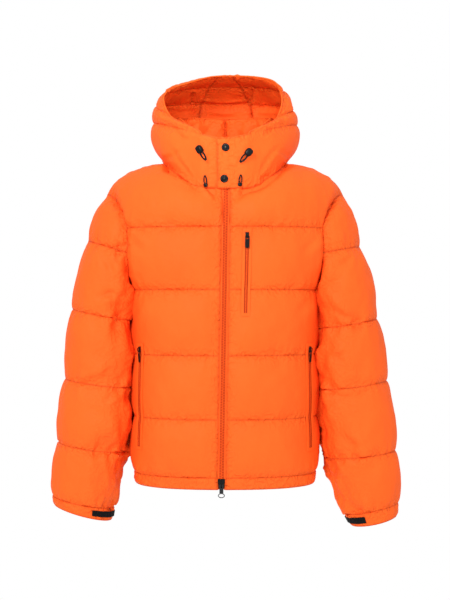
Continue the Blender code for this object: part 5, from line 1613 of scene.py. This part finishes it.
def softened(node, width, grow=(1.0, 1.0, 1.0)):
    """A copy of a CAD node with its edges rounded, larger by the given shares about its middle."""
    shape = bmesh.new()
    shape.from_mesh(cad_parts[node].data)
    middle = sum((v.co for v in shape.verts), Vector()) / len(shape.verts)
    for v in shape.verts:
        v.co = middle + (v.co - middle) * Vector(grow)
    bmesh.ops.remove_doubles(shape, verts=shape.verts, dist=0.02 * MM)
    bmesh.ops.dissolve_limit(shape, angle_limit=math.radians(2), verts=shape.verts, edges=shape.edges)
    sharp = [e for e in shape.edges if len(e.link_faces) == 2 and e.calc_face_angle(0) > BEVEL_FROM]
    bmesh.ops.bevel(
        shape, geom=sharp, offset=width * MM, segments=3, profile=0.5, affect="EDGES", clamp_overlap=True
    )
    bmesh.ops.triangulate(shape, faces=[f for f in shape.faces if len(f.verts) > 4])
    name = node + "_finished"
    return finished(name, shape, bpy.data.meshes.new(name), 50)


def joined_blocks(name, blocks, sharp=40):
    """Many small six-sided blocks as one mesh; each is eight corners, the first four its foot."""
    points, faces = [], []
    for corners in blocks:
        base = len(points)
        points += list(corners)
        sides = [(3, 2, 1, 0), (4, 5, 6, 7)] + [(k, (k + 1) % 4, (k + 1) % 4 + 4, k + 4) for k in range(4)]
        faces += [[base + i for i in side] for side in sides]
    return mesh_piece(name, points, faces, sharp)


def block(matrix, low, high, narrow=1.0):
    """A block from low to high in its own frame, narrower by a share at its outer end."""
    middle = ((low[0] + high[0]) / 2, (low[2] + high[2]) / 2)
    corners = []
    for y, share in ((high[1], 1.0), (low[1], narrow)):
        for x, z in ((low[0], low[2]), (high[0], low[2]), (high[0], high[2]), (low[0], high[2])):
            spot = (middle[0] + (x - middle[0]) * share, y, middle[1] + (z - middle[1]) * share)
            corners.append(tuple(matrix @ Vector(spot)))
    return corners


def along_line(points, pitch):
    """Spots a pitch apart on a line of points, each with its direction and its share."""
    points = np.asarray(points, float)
    steps = np.linalg.norm(np.diff(points, axis=0), axis=1)
    places = np.concatenate([[0], np.cumsum(steps)])
    count = max(1, int(places[-1] / pitch))
    for k in range(count):
        far = (k + 0.5) * places[-1] / count
        i = min(int(np.searchsorted(places, far)) - 1, len(steps) - 1)
        i = max(i, 0)
        share = (far - places[i]) / max(steps[i], 1e-9)
        yield points[i] * (1 - share) + points[i + 1] * share, unit(points[i + 1] - points[i]), i, share


def blocks_along(points, normals, pitch, low, high, narrow):
    """Blocks at a pitch along a line on the cloth, which stand out the way the cloth faces."""
    blocks = []
    for spot, climb, i, share in along_line(points, pitch):
        outward = unit(normals[i] * (1 - share) + normals[i + 1] * share)
        blocks.append(block(frame_at(spot, outward, climb), low, high, narrow))
    return blocks


def zip_line():
    """Middle of the front zip's tape, from the hem to the neckline."""
    heights = [BODY_RINGS[0][0] + 0.3] + [z for z, _ in body_levels()]
    rows = [(z, row_point(z, 0, -1, ZIP_CHANNEL_HALF)[1]) for z in heights]
    base, top = rows[-1], NECKLINE[0]
    rows += [(base[0] + (top[2] - base[0]) * s, base[1] + (top[1] - base[1]) * s) for s in (0.35, 0.65, 0.97)]
    return [np.array((zip_x(z), y + ZIP_SET_BACK, z)) for z, y in rows]


def collar_zip_line():
    """Middle of the zip's upper end, between the collar's two edges."""
    edges = []
    for _, which in SIDES:
        panel = SHELL["panels"]["collar_" + which]
        edges.append(np.array([panel.points[panel.grid[(row, 0)]] for row in range(len(COLLAR_SHARES))]))
    points = []
    for z in np.linspace(COLLAR_ZIP_BOTTOM, COLLAR_ZIP_TOP, 7):
        y = sum(np.interp(z, edge[:, 2], edge[:, 1]) for edge in edges) / 2
        points.append(np.array((ZIP_TOP_X, y + COLLAR_ZIP_SET_BACK, z)))
    return points


def tube_faces(rows, count):
    """Faces between rings of points, each ring with the same count."""
    faces = []
    for row in range(rows - 1):
        for k in range(count):
            a, b = row * count + k, row * count + (k + 1) % count
            faces.append((a, b, b + count, a + count))
    return faces


def make_zip(node, line, tooth_pitch):
    """Two woven tapes and a chain of moulded teeth, in place of the plain strip."""
    section = [(-across, lift) for across, lift in TAPE_HALF] + list(TAPE_HALF[::-1])
    section += [(across, TAPE_THICK - 0.3) for across, _ in section[::-1]]
    fine = [line[0]] + [p for p, _, _, _ in along_line(line, TAPE_ROWS)] + [line[-1]]
    points = [(x + across, y + lift, z) for x, y, z in fine for across, lift in section]
    count, last = len(section), len(points) - 1
    faces = tube_faces(len(fine), count) + [list(range(count)), list(range(last, last - count, -1))]
    tape = mesh_piece(node + "_tape", points, faces, 60)
    near, far = TAPE_PLAIN
    # Painted shade at the tape's edges and under the chain of teeth.
    painted_shade = [float(not near < abs(p[0] - fine[i // count][0]) < far) for i, p in enumerate(points)]
    mark(tape, "shade", painted_shade)
    dress(tape, "tape_cloth", node)
    blocks = []
    for number, (spot, climb, _, _) in enumerate(along_line(line, tooth_pitch / 2)):
        side = -1 if number % 2 else 1
        matrix = frame_at(spot, np.cross(climb, (1, 0, 0)) * -1, climb)
        if (matrix.to_3x3() @ Vector((0, -1, 0))).y > 0:
            matrix = frame_at(spot, np.cross(climb, (1, 0, 0)), climb)
        foot, head = sorted((side * 4.0, side * 0.9)), sorted((side * 1.3, -side * 0.9))
        blocks.append(block(matrix, (foot[0], -1.35, -0.55), (foot[1], 0.3, 0.55), 0.85))
        blocks.append(block(matrix, (head[0], -1.6, -0.72), (head[1], 0.2, 0.72), 0.7))
    dress(joined_blocks(node + "_teeth", blocks), "tooth_plastic")


def pocket_line(name):
    """Points up the middle of a pocket's zip, and the directions that it faces there."""
    side, first, low, high = POCKETS[name]
    patch = SHELL["panels"]["front_left" if side > 0 else "front_right"]
    levels = [level for level, _ in body_levels()]
    outer = [p + n * h for p, n, h in zip(patch.points, patch.normals, patch.puffs)]
    foot, head = low + WELT_END + 0.5, high - WELT_END - 0.5
    points, normals = [], []
    for z in [foot] + [z for z in levels if low + 9 < z < high - 9] + [head]:
        row = max(i for i in range(len(levels) - 1) if levels[i] <= z)
        share = (z - levels[row]) / (levels[row + 1] - levels[row])
        spots, outs = [], []
        for k in (0, 1):
            a, b = (patch.grid[(row + step, side * (first + k))] for step in (0, 1))
            spots.append(outer[a] * (1 - share) + outer[b] * share)
            outs.append(unit(patch.normals[a] * (1 - share) + patch.normals[b] * share))
        normals.append(unit(sum(outs)))
        points.append(sum(spots) / 2 + normals[-1] * (WELT_LIFT + TAPE_THICK))
    return points, normals


def make_coil(name, pitch):
    """The coil of a pocket zip: a fine rib across the tape at every pitch."""
    low, high = (-1.7, -0.35, -0.3 * pitch), (1.7, 0.2, 0.25 * pitch)
    blocks = blocks_along(*pocket_line(name), pitch, low, high, 0.8)
    dress(joined_blocks(name + "_coil", blocks), "tooth_plastic")


def stitch_blocks(points, normals, trims, rise=0.3):
    """A row of stitches along a line on the cloth."""
    half_length, half_width = trims.stitch_length / 2, STITCH_WIDE / 2
    low, high = (-half_width, -rise, -half_length), (half_width, STITCH_SUNK, half_length)
    return blocks_along(points, normals, trims.stitch_length + trims.stitch_gap, low, high, 0.7)


def quilt_lines(patch):
    """The lines of grid points along a panel's stitched rows, at the control points' level."""
    lookup = SHELL["levels"][0].lookup
    lines = []
    for row in sorted(patch.stitched):
        columns = sorted(c for r, c in patch.grid if r == row)
        line = [patch.index[patch.grid[(row, c)]] for c in columns]
        part = [line[0]]
        for a, b in zip(line, line[1:]):
            if (min(a, b), max(a, b)) not in lookup:
                lines.append(part)
                part = []
            part.append(b)
        closes = (min(part[-1], line[0]), max(part[-1], line[0])) in lookup
        if closes and len(line) > 2 and part[0] == line[0]:
            part.append(line[0])
        lines.append(part)
    return [part for part in lines if len(part) > 1]


def make_quilt_stitches(trims):
    """Stitches in the trough of every quilt line, one joined piece for each panel."""
    outside, normals = SHELL["outside"], SHELL["normals"]
    for name, patch in SHELL["panels"].items():
        blocks = []
        for line in quilt_lines(patch):
            for level in SHELL["levels"][:-1]:
                line = level.finer_line(line)
            blocks += stitch_blocks(outside[line], normals[line], trims)
        if blocks:
            dress(joined_blocks(name + "_stitches", blocks), "thread")


def cast_line(tree, spots, direction):
    """Points and normals where rays from the spots meet the cloth."""
    points, normals = [], []
    for spot in spots:
        hit, normal, _, _ = tree.ray_cast(Vector(spot), Vector(direction))
        if hit is not None:
            points.append(np.array(hit))
            normals.append(np.array(normal) * (-1 if np.dot(normal, direction) > 0 else 1))
    return points, normals


def make_top_stitches(trims):
    """A row of stitches on each front beside the zip."""
    fronts = ("front_right", "front_left", "hem_front_right", "hem_front_left")
    body, _ = tree_of(SHELL[name].data for name in fronts)
    blocks = []
    for offset in (-PLACKET_STITCHES, PLACKET_STITCHES):
        spots = [(zip_x(z) + offset, -400, z) for z in np.arange(-655, -66, 9.0)]
        blocks += stitch_blocks(*cast_line(body, spots, (0, 1, 0)), trims, rise=0.25)
    dress(joined_blocks("placket_stitches", blocks), "thread")


def make_snap(name):
    seat, outward = SNAP_SEATS[name]
    matrix = frame_at(seat, outward, (0, 0, 1))
    stretch = SNAP_RISE / SNAP_OUTLINE[-1][1]
    points = []
    for radius, rise in SNAP_OUTLINE[:-1]:
        for k in range(SNAP_SEGMENTS):
            turn = 2 * math.pi * k / SNAP_SEGMENTS
            spot = (radius * math.cos(turn), -rise * stretch, radius * math.sin(turn))
            points.append(tuple(matrix @ Vector(spot)))
    rings = len(SNAP_OUTLINE) - 1
    faces = tube_faces(rings, SNAP_SEGMENTS)
    last = (rings - 1) * SNAP_SEGMENTS
    faces += [(last + k, last + (k + 1) % SNAP_SEGMENTS, len(points)) for k in range(SNAP_SEGMENTS)]
    faces.append(tuple(range(SNAP_SEGMENTS - 1, -1, -1)))
    points.append(tuple(matrix @ Vector((0, -SNAP_RISE, 0))))
    dress(mesh_piece(name + "_cap", points, faces, 50), "black_plastic", name)


def make_cord(name):
    """A loop of cord that leaves its toggle, turns round and comes back."""
    point, outward, up, (wide, long, diameter, lift) = CORD_LOOPS[name]
    matrix = frame_at(point, outward, up)
    route = []
    for k in range(CORD_POINTS):
        share = k / (CORD_POINTS - 1)
        turn = math.pi * (2 * share - 1)
        x = (wide - diameter) / 2 * math.sin(turn) * (0.55 - 0.45 * math.cos(turn)) ** 0.35
        x += diameter * 0.62 * (1 if share > 0.5 else -1) * (1 - math.sin(math.pi * share)) ** 3
        route.append((matrix @ Vector((x, -lift, -long * (0.5 + 0.5 * math.cos(turn))))) * MM)
    curve = bpy.data.curves.new(name + "_cord", "CURVE")
    curve.dimensions = "3D"
    curve.bevel_depth = diameter / 2 * MM
    curve.bevel_resolution = 3
    curve.use_fill_caps = True
    spline = curve.splines.new("POLY")
    spline.points.add(CORD_POINTS - 1)
    for spot, place in zip(spline.points, route):
        spot.co = (*place, 1)
    obj = place_in_scene(name + "_cord", curve)
    dress(obj, "braided_cord", name + "_loop")


# ---------------------------------------------------------------- stage


FLOOR_HALF = 2.4
SENSOR = 24.0
LAMPS = (("key", (-1.0, -2.5, 1.0), 0.9), ("fill", (1.8, -2.5, 0.2), 2.0), ("top", (0.0, 0.2, 2.4), 2.0))
JACKET_MIDDLE = (0, 0, -0.25)
HOOD_LAMP, HOOD_MIDDLE = (0.0, -2.7, -0.05), (-0.01, 0.08, 0.155)
HOOD_BEAM, HOOD_SOFTNESS = math.radians(6), 0.2


def aimed(name, data, spot, target):
    """A lamp at a spot, turned towards its target."""
    lamp = place_in_scene(name, data)
    lamp.location = spot
    lamp.rotation_euler = (Vector(target) - Vector(spot)).to_track_quat("-Z", "Y").to_euler()


def make_stage(sizes):
    scene = bpy.context.scene
    camera = bpy.data.cameras.new("camera")
    camera.sensor_fit = "VERTICAL"
    camera.sensor_height = SENSOR
    camera.lens = SENSOR * sizes.distance / sizes.frame_height
    scene.camera = place_in_scene("camera", camera)
    scene.camera.location = (0, -sizes.distance, sizes.camera_height)
    scene.camera.rotation_euler = (math.radians(90), 0, 0)

    corners = [(x * FLOOR_HALF, y * FLOOR_HALF, 0) for x, y in ((-1, -1), (1, -1), (1, 1), (-1, 1))]
    mesh = bpy.data.meshes.new("floor")
    mesh.from_pydata(corners, [], [(0, 1, 2, 3)])
    floor = place_in_scene("floor", mesh)
    floor.location.z = CAD_LOW.z - sizes.floor_drop
    wiring, shader, place = new_finish("pale_floor", 0.8)
    grain = wiring.spread(wiring.noise(place, 40.0), 0.3, 0.7, 0.86, 0.92)
    grey = wiring.add("CombineColor", {0: grain, 1: grain, 2: grain}).outputs[0]
    wiring.join(grey, shader.inputs["Base Color"])
    mesh.materials.append(FINISHES["pale_floor"])

    scene.world = bpy.data.worlds.new("studio")
    scene.world.use_nodes = True
    wiring = Wiring(scene.world.node_tree)
    back = scene.world.node_tree.nodes["Background"]
    back.inputs["Color"].default_value = (1, 1, 1, 1)
    seen = wiring.add("LightPath").outputs["Is Camera Ray"]
    wiring.join(wiring.spread(seen, 0.0, 1.0, sizes.ambient, 1.0), back.inputs["Strength"])
    scene.view_settings.view_transform = "Standard"

    for name, spot, size in LAMPS:
        light = bpy.data.lights.new(name, "AREA")
        light.shape = "DISK"
        light.size = size
        light.energy = getattr(sizes, name + "_power")
        aimed(name, light, spot, JACKET_MIDDLE)
    light = bpy.data.lights.new("hood", "SPOT")
    light.energy, light.spot_blend = sizes.hood_power, 1.0
    light.spot_size, light.shadow_soft_size = HOOD_BEAM, HOOD_SOFTNESS
    aimed("hood", light, HOOD_LAMP, HOOD_MIDDLE)


# ---------------------------------------------------------------- what a user may change


def colour(name, text, default):
    return FloatVectorProperty(
        name=name, description=text, default=default, subtype="COLOR", min=0, max=1
    )


def share(name, text, default, most=1):
    return FloatProperty(name=name, description=text, default=default, min=0, max=most, subtype="FACTOR")


def amount(name, text, default, least, most):
    return FloatProperty(name=name, description=text, default=default, min=least, max=most)


def reach(name, text, default, least, most):
    return FloatProperty(name=name, description=text, default=default, min=least, max=most, unit="LENGTH")


def power(name, text, default):
    return FloatProperty(name=name, description=text, default=default, min=0, max=1000, unit="POWER")


class JacketCloth(PropertyGroup):
    """Colour, finish and folds of the shell cloth; lengths in millimetres of cloth."""

    shell_colour: colour("Shell colour", "Colour of the woven shell", (0.97, 0.124, 0.0148))
    # Painted shade colour, laid into seam troughs, creases, pucker troughs and the zip tapes' grooves; the
    # cloth also clouds a little towards it at random.
    shade_colour: colour("Painted shade", "Deeper colour in the stitched lines", (0.33, 0.014, 0.002))
    roughness: share("Roughness", "Roughness of the shell", 0.62)
    gloss: share("Gloss", "Specular level of the shell", 0.1)
    crumple: amount("Crumple", "How far the fine crumple stands out, in millimetres", 2.2, 0, 6)
    crumple_scale: amount("Crumple scale", "Fine folds a metre", 34.0, 5, 200)
    pressure: amount("Pressure", "Pressure of the filling in the simulation", 6.0, 0, 60)
    slack: share("Slack", "How much longer the cloth is than its seams", 0.16, 0.5)
    settle_frames: IntProperty(
        name="Frames", description="Frames of the simulation", default=8, min=1, max=40
    )
    fold_depth: amount("Fold depth", "Height of the loose folds, in millimetres", 3.4, 0, 8)
    pucker_depth: amount("Pucker depth", "Height of the folds along seams, in millimetres", 5.2, 0, 9)
    pucker_reach: amount("Pucker reach", "How far those folds run out, in millimetres", 15.0, 2, 40)
    # Painted shade: the width of the darker line laid along each seam, which also sets how far the crumple
    # reaches.
    seam_width: amount("Seam width", "Width of the dark line at a seam, in millimetres", 1.8, 0.5, 10)


class JacketTrims(PropertyGroup):
    """Zips, stitches and hardware."""

    black_colour: colour("Black trim", "Toggles, snaps, cords and pulls", (0.005, 0.005, 0.0055))
    metal_colour: colour("Slider metal", "Zip sliders", (0.016, 0.016, 0.017))
    ring_colour: colour("Ring metal", "Pull and ring of the front zip", (0.05, 0.05, 0.052))
    tooth_pitch: amount("Tooth pitch", "Between the teeth of one tape, in millimetres", 3.2, 1, 8)
    coil_pitch: amount("Coil pitch", "Between the ribs of the pocket coils, in millimetres", 1.6, 0.8, 4)
    stitch_length: amount("Stitch length", "Length of one stitch, in millimetres", 3.1, 1, 8)
    stitch_gap: amount("Stitch gap", "Gap between stitches, in millimetres", 1.2, 0.2, 5)


class JacketStage(PropertyGroup):
    """Camera, floor and lights, in metres and watts."""

    distance: reach("Distance", "From the camera to the jacket", 2.8, 0.5, 20)
    camera_height: reach("Camera height", "Height of the camera's axis", -0.283, -3, 3)
    frame_height: reach("Frame height", "Height that the view takes in at the jacket", 1.26, 0.2, 5)
    floor_drop: reach("Floor drop", "From the jacket's lowest point down to the floor", 0.82, 0, 3)
    ambient: amount("Ambient", "Strength of the studio's even light", 0.8, 0, 5)
    key_power: power("Key light", "Power of the large light in front", 52.0)
    fill_power: power("Fill light", "Power of the light from the side", 12.0)
    hood_power: power("Hood light", "Power of the light that reaches into the hood", 430.0)
    top_power: power("Top light", "Power of the light above", 10.0)


SETTINGS = {"jacket_cloth": JacketCloth, "jacket_trims": JacketTrims, "jacket_stage": JacketStage}


# ---------------------------------------------------------------- operators


class JACKET_OT_finishes(Operator):
    """Make every material and the node groups that they share"""

    bl_idname = "jacket.finishes"
    bl_label = "Materials"

    def execute(self, context):
        build_finishes(context.scene.jacket_cloth, context.scene.jacket_trims)
        return {"FINISHED"}


class JACKET_OT_shell(Operator):
    """Puff, crease and cut the padded panels, hems, cuffs, hood and collar"""

    bl_idname = "jacket.shell"
    bl_label = "Cloth panels"

    def execute(self, context):
        make_shell(context.scene.jacket_cloth)
        return {"FINISHED"}


class JACKET_OT_stitches(Operator):
    """Sew the quilt lines and the top stitching"""

    bl_idname = "jacket.stitches"
    bl_label = "Stitches"

    def execute(self, context):
        make_quilt_stitches(context.scene.jacket_trims)
        make_top_stitches(context.scene.jacket_trims)
        return {"FINISHED"}


class JACKET_OT_zips(Operator):
    """Lay the front zip and its upper end behind the flap, with both sliders and the pull"""

    bl_idname = "jacket.zips"
    bl_label = "Front zip"

    def execute(self, context):
        pitch = context.scene.jacket_trims.tooth_pitch
        make_zip("front_zip", zip_line(), pitch)
        make_zip("collar_zip", collar_zip_line(), pitch)
        dress(softened("zip_slider", 0.5), "gunmetal", "zip_slider")
        dress(softened("collar_slider", 0.5), "gunmetal", "collar_slider")
        dress(softened("zip_pull", 0.3), "bright_metal", "zip_pull", "zip_pull")
        return {"FINISHED"}


class JACKET_OT_pockets(Operator):
    """Sew in the three zipped pockets"""

    bl_idname = "jacket.pockets"
    bl_label = "Pockets"

    def execute(self, context):
        for name in POCKETS:
            grow = (1.4, 1.0, 1.0) if name == "chest" else (1.0, 1.0, 1.0)
            dress(softened(name + "_welt", 0.55), "shell_cloth", name + "_welt")
            tape = softened(name + "_zip", 0.3)
            # Painted shade: the whole pocket tape, sunk between the welts, takes the darker shade tone.
            mark(tape, "shade", [1.0] * len(tape.data.vertices))
            dress(tape, "tape_cloth", name + "_zip")
            make_coil(name, context.scene.jacket_trims.coil_pitch)
            dress(softened(name + "_slider", 0.4), "gunmetal", name + "_slider")
            dress(softened(name + "_pull", 0.45, grow), "black_rubber", name + "_pull", name + "_pull")
        return {"FINISHED"}


class JACKET_OT_snaps(Operator):
    """Set the two snaps on the chin flap"""

    bl_idname = "jacket.snaps"
    bl_label = "Snaps"

    def execute(self, context):
        for name in SNAP_SEATS:
            make_snap(name)
        return {"FINISHED"}


class JACKET_OT_cords(Operator):
    """Hang the four loops of drawcord and their toggles"""

    bl_idname = "jacket.cords"
    bl_label = "Drawcords"

    def execute(self, context):
        for name in TOGGLES:
            dress(softened(name, 1.3, TOGGLE_GROW), "black_plastic", name)
            make_cord(name)
        return {"FINISHED"}


class JACKET_OT_cuff_tabs(Operator):
    """Fit the hook tape tabs on both cuffs"""

    bl_idname = "jacket.cuff_tabs"
    bl_label = "Cuff tabs"

    def execute(self, context):
        for which in ("right", "left"):
            name = "cuff_tab_" + which
            dress(softened(name, 0.6), "hook_tape", name)
        return {"FINISHED"}


class JACKET_OT_stage(Operator):
    """Set the camera, the pale floor and the soft studio light"""

    bl_idname = "jacket.stage"
    bl_label = "Stage"

    def execute(self, context):
        make_stage(context.scene.jacket_stage)
        return {"FINISHED"}


OPERATORS = (
    JACKET_OT_stage, JACKET_OT_finishes, JACKET_OT_cords, JACKET_OT_shell, JACKET_OT_zips, JACKET_OT_pockets,
    JACKET_OT_snaps, JACKET_OT_cuff_tabs, JACKET_OT_stitches,
)


class JACKET_PT_sidebar(Panel):
    """The jacket's pieces and sizes"""

    bl_label = "Hooded puffer jacket"
    bl_idname = "JACKET_PT_sidebar"
    bl_space_type = "VIEW_3D"
    bl_region_type = "UI"
    bl_category = "Jacket"

    def draw(self, context):
        for group in SETTINGS:
            values = getattr(context.scene, group)
            box = self.layout.box()
            for key in values.bl_rna.properties.keys():
                if key not in ("rna_type", "name"):
                    box.prop(values, key)
        for operator in OPERATORS:
            self.layout.operator(operator.bl_idname)


CLASSES = (*SETTINGS.values(), *OPERATORS, JACKET_PT_sidebar)


def register():
    for kind in CLASSES:
        bpy.utils.register_class(kind)
    for name, kind in SETTINGS.items():
        setattr(bpy.types.Scene, name, PointerProperty(type=kind))


def unregister():
    for name in SETTINGS:
        delattr(bpy.types.Scene, name)
    for kind in reversed(CLASSES):
        bpy.utils.unregister_class(kind)


def main():
    register()
    for operator in OPERATORS:
        family, name = operator.bl_idname.split(".")
        getattr(getattr(bpy.ops, family), name)()


if __name__ == "__main__":
    main()
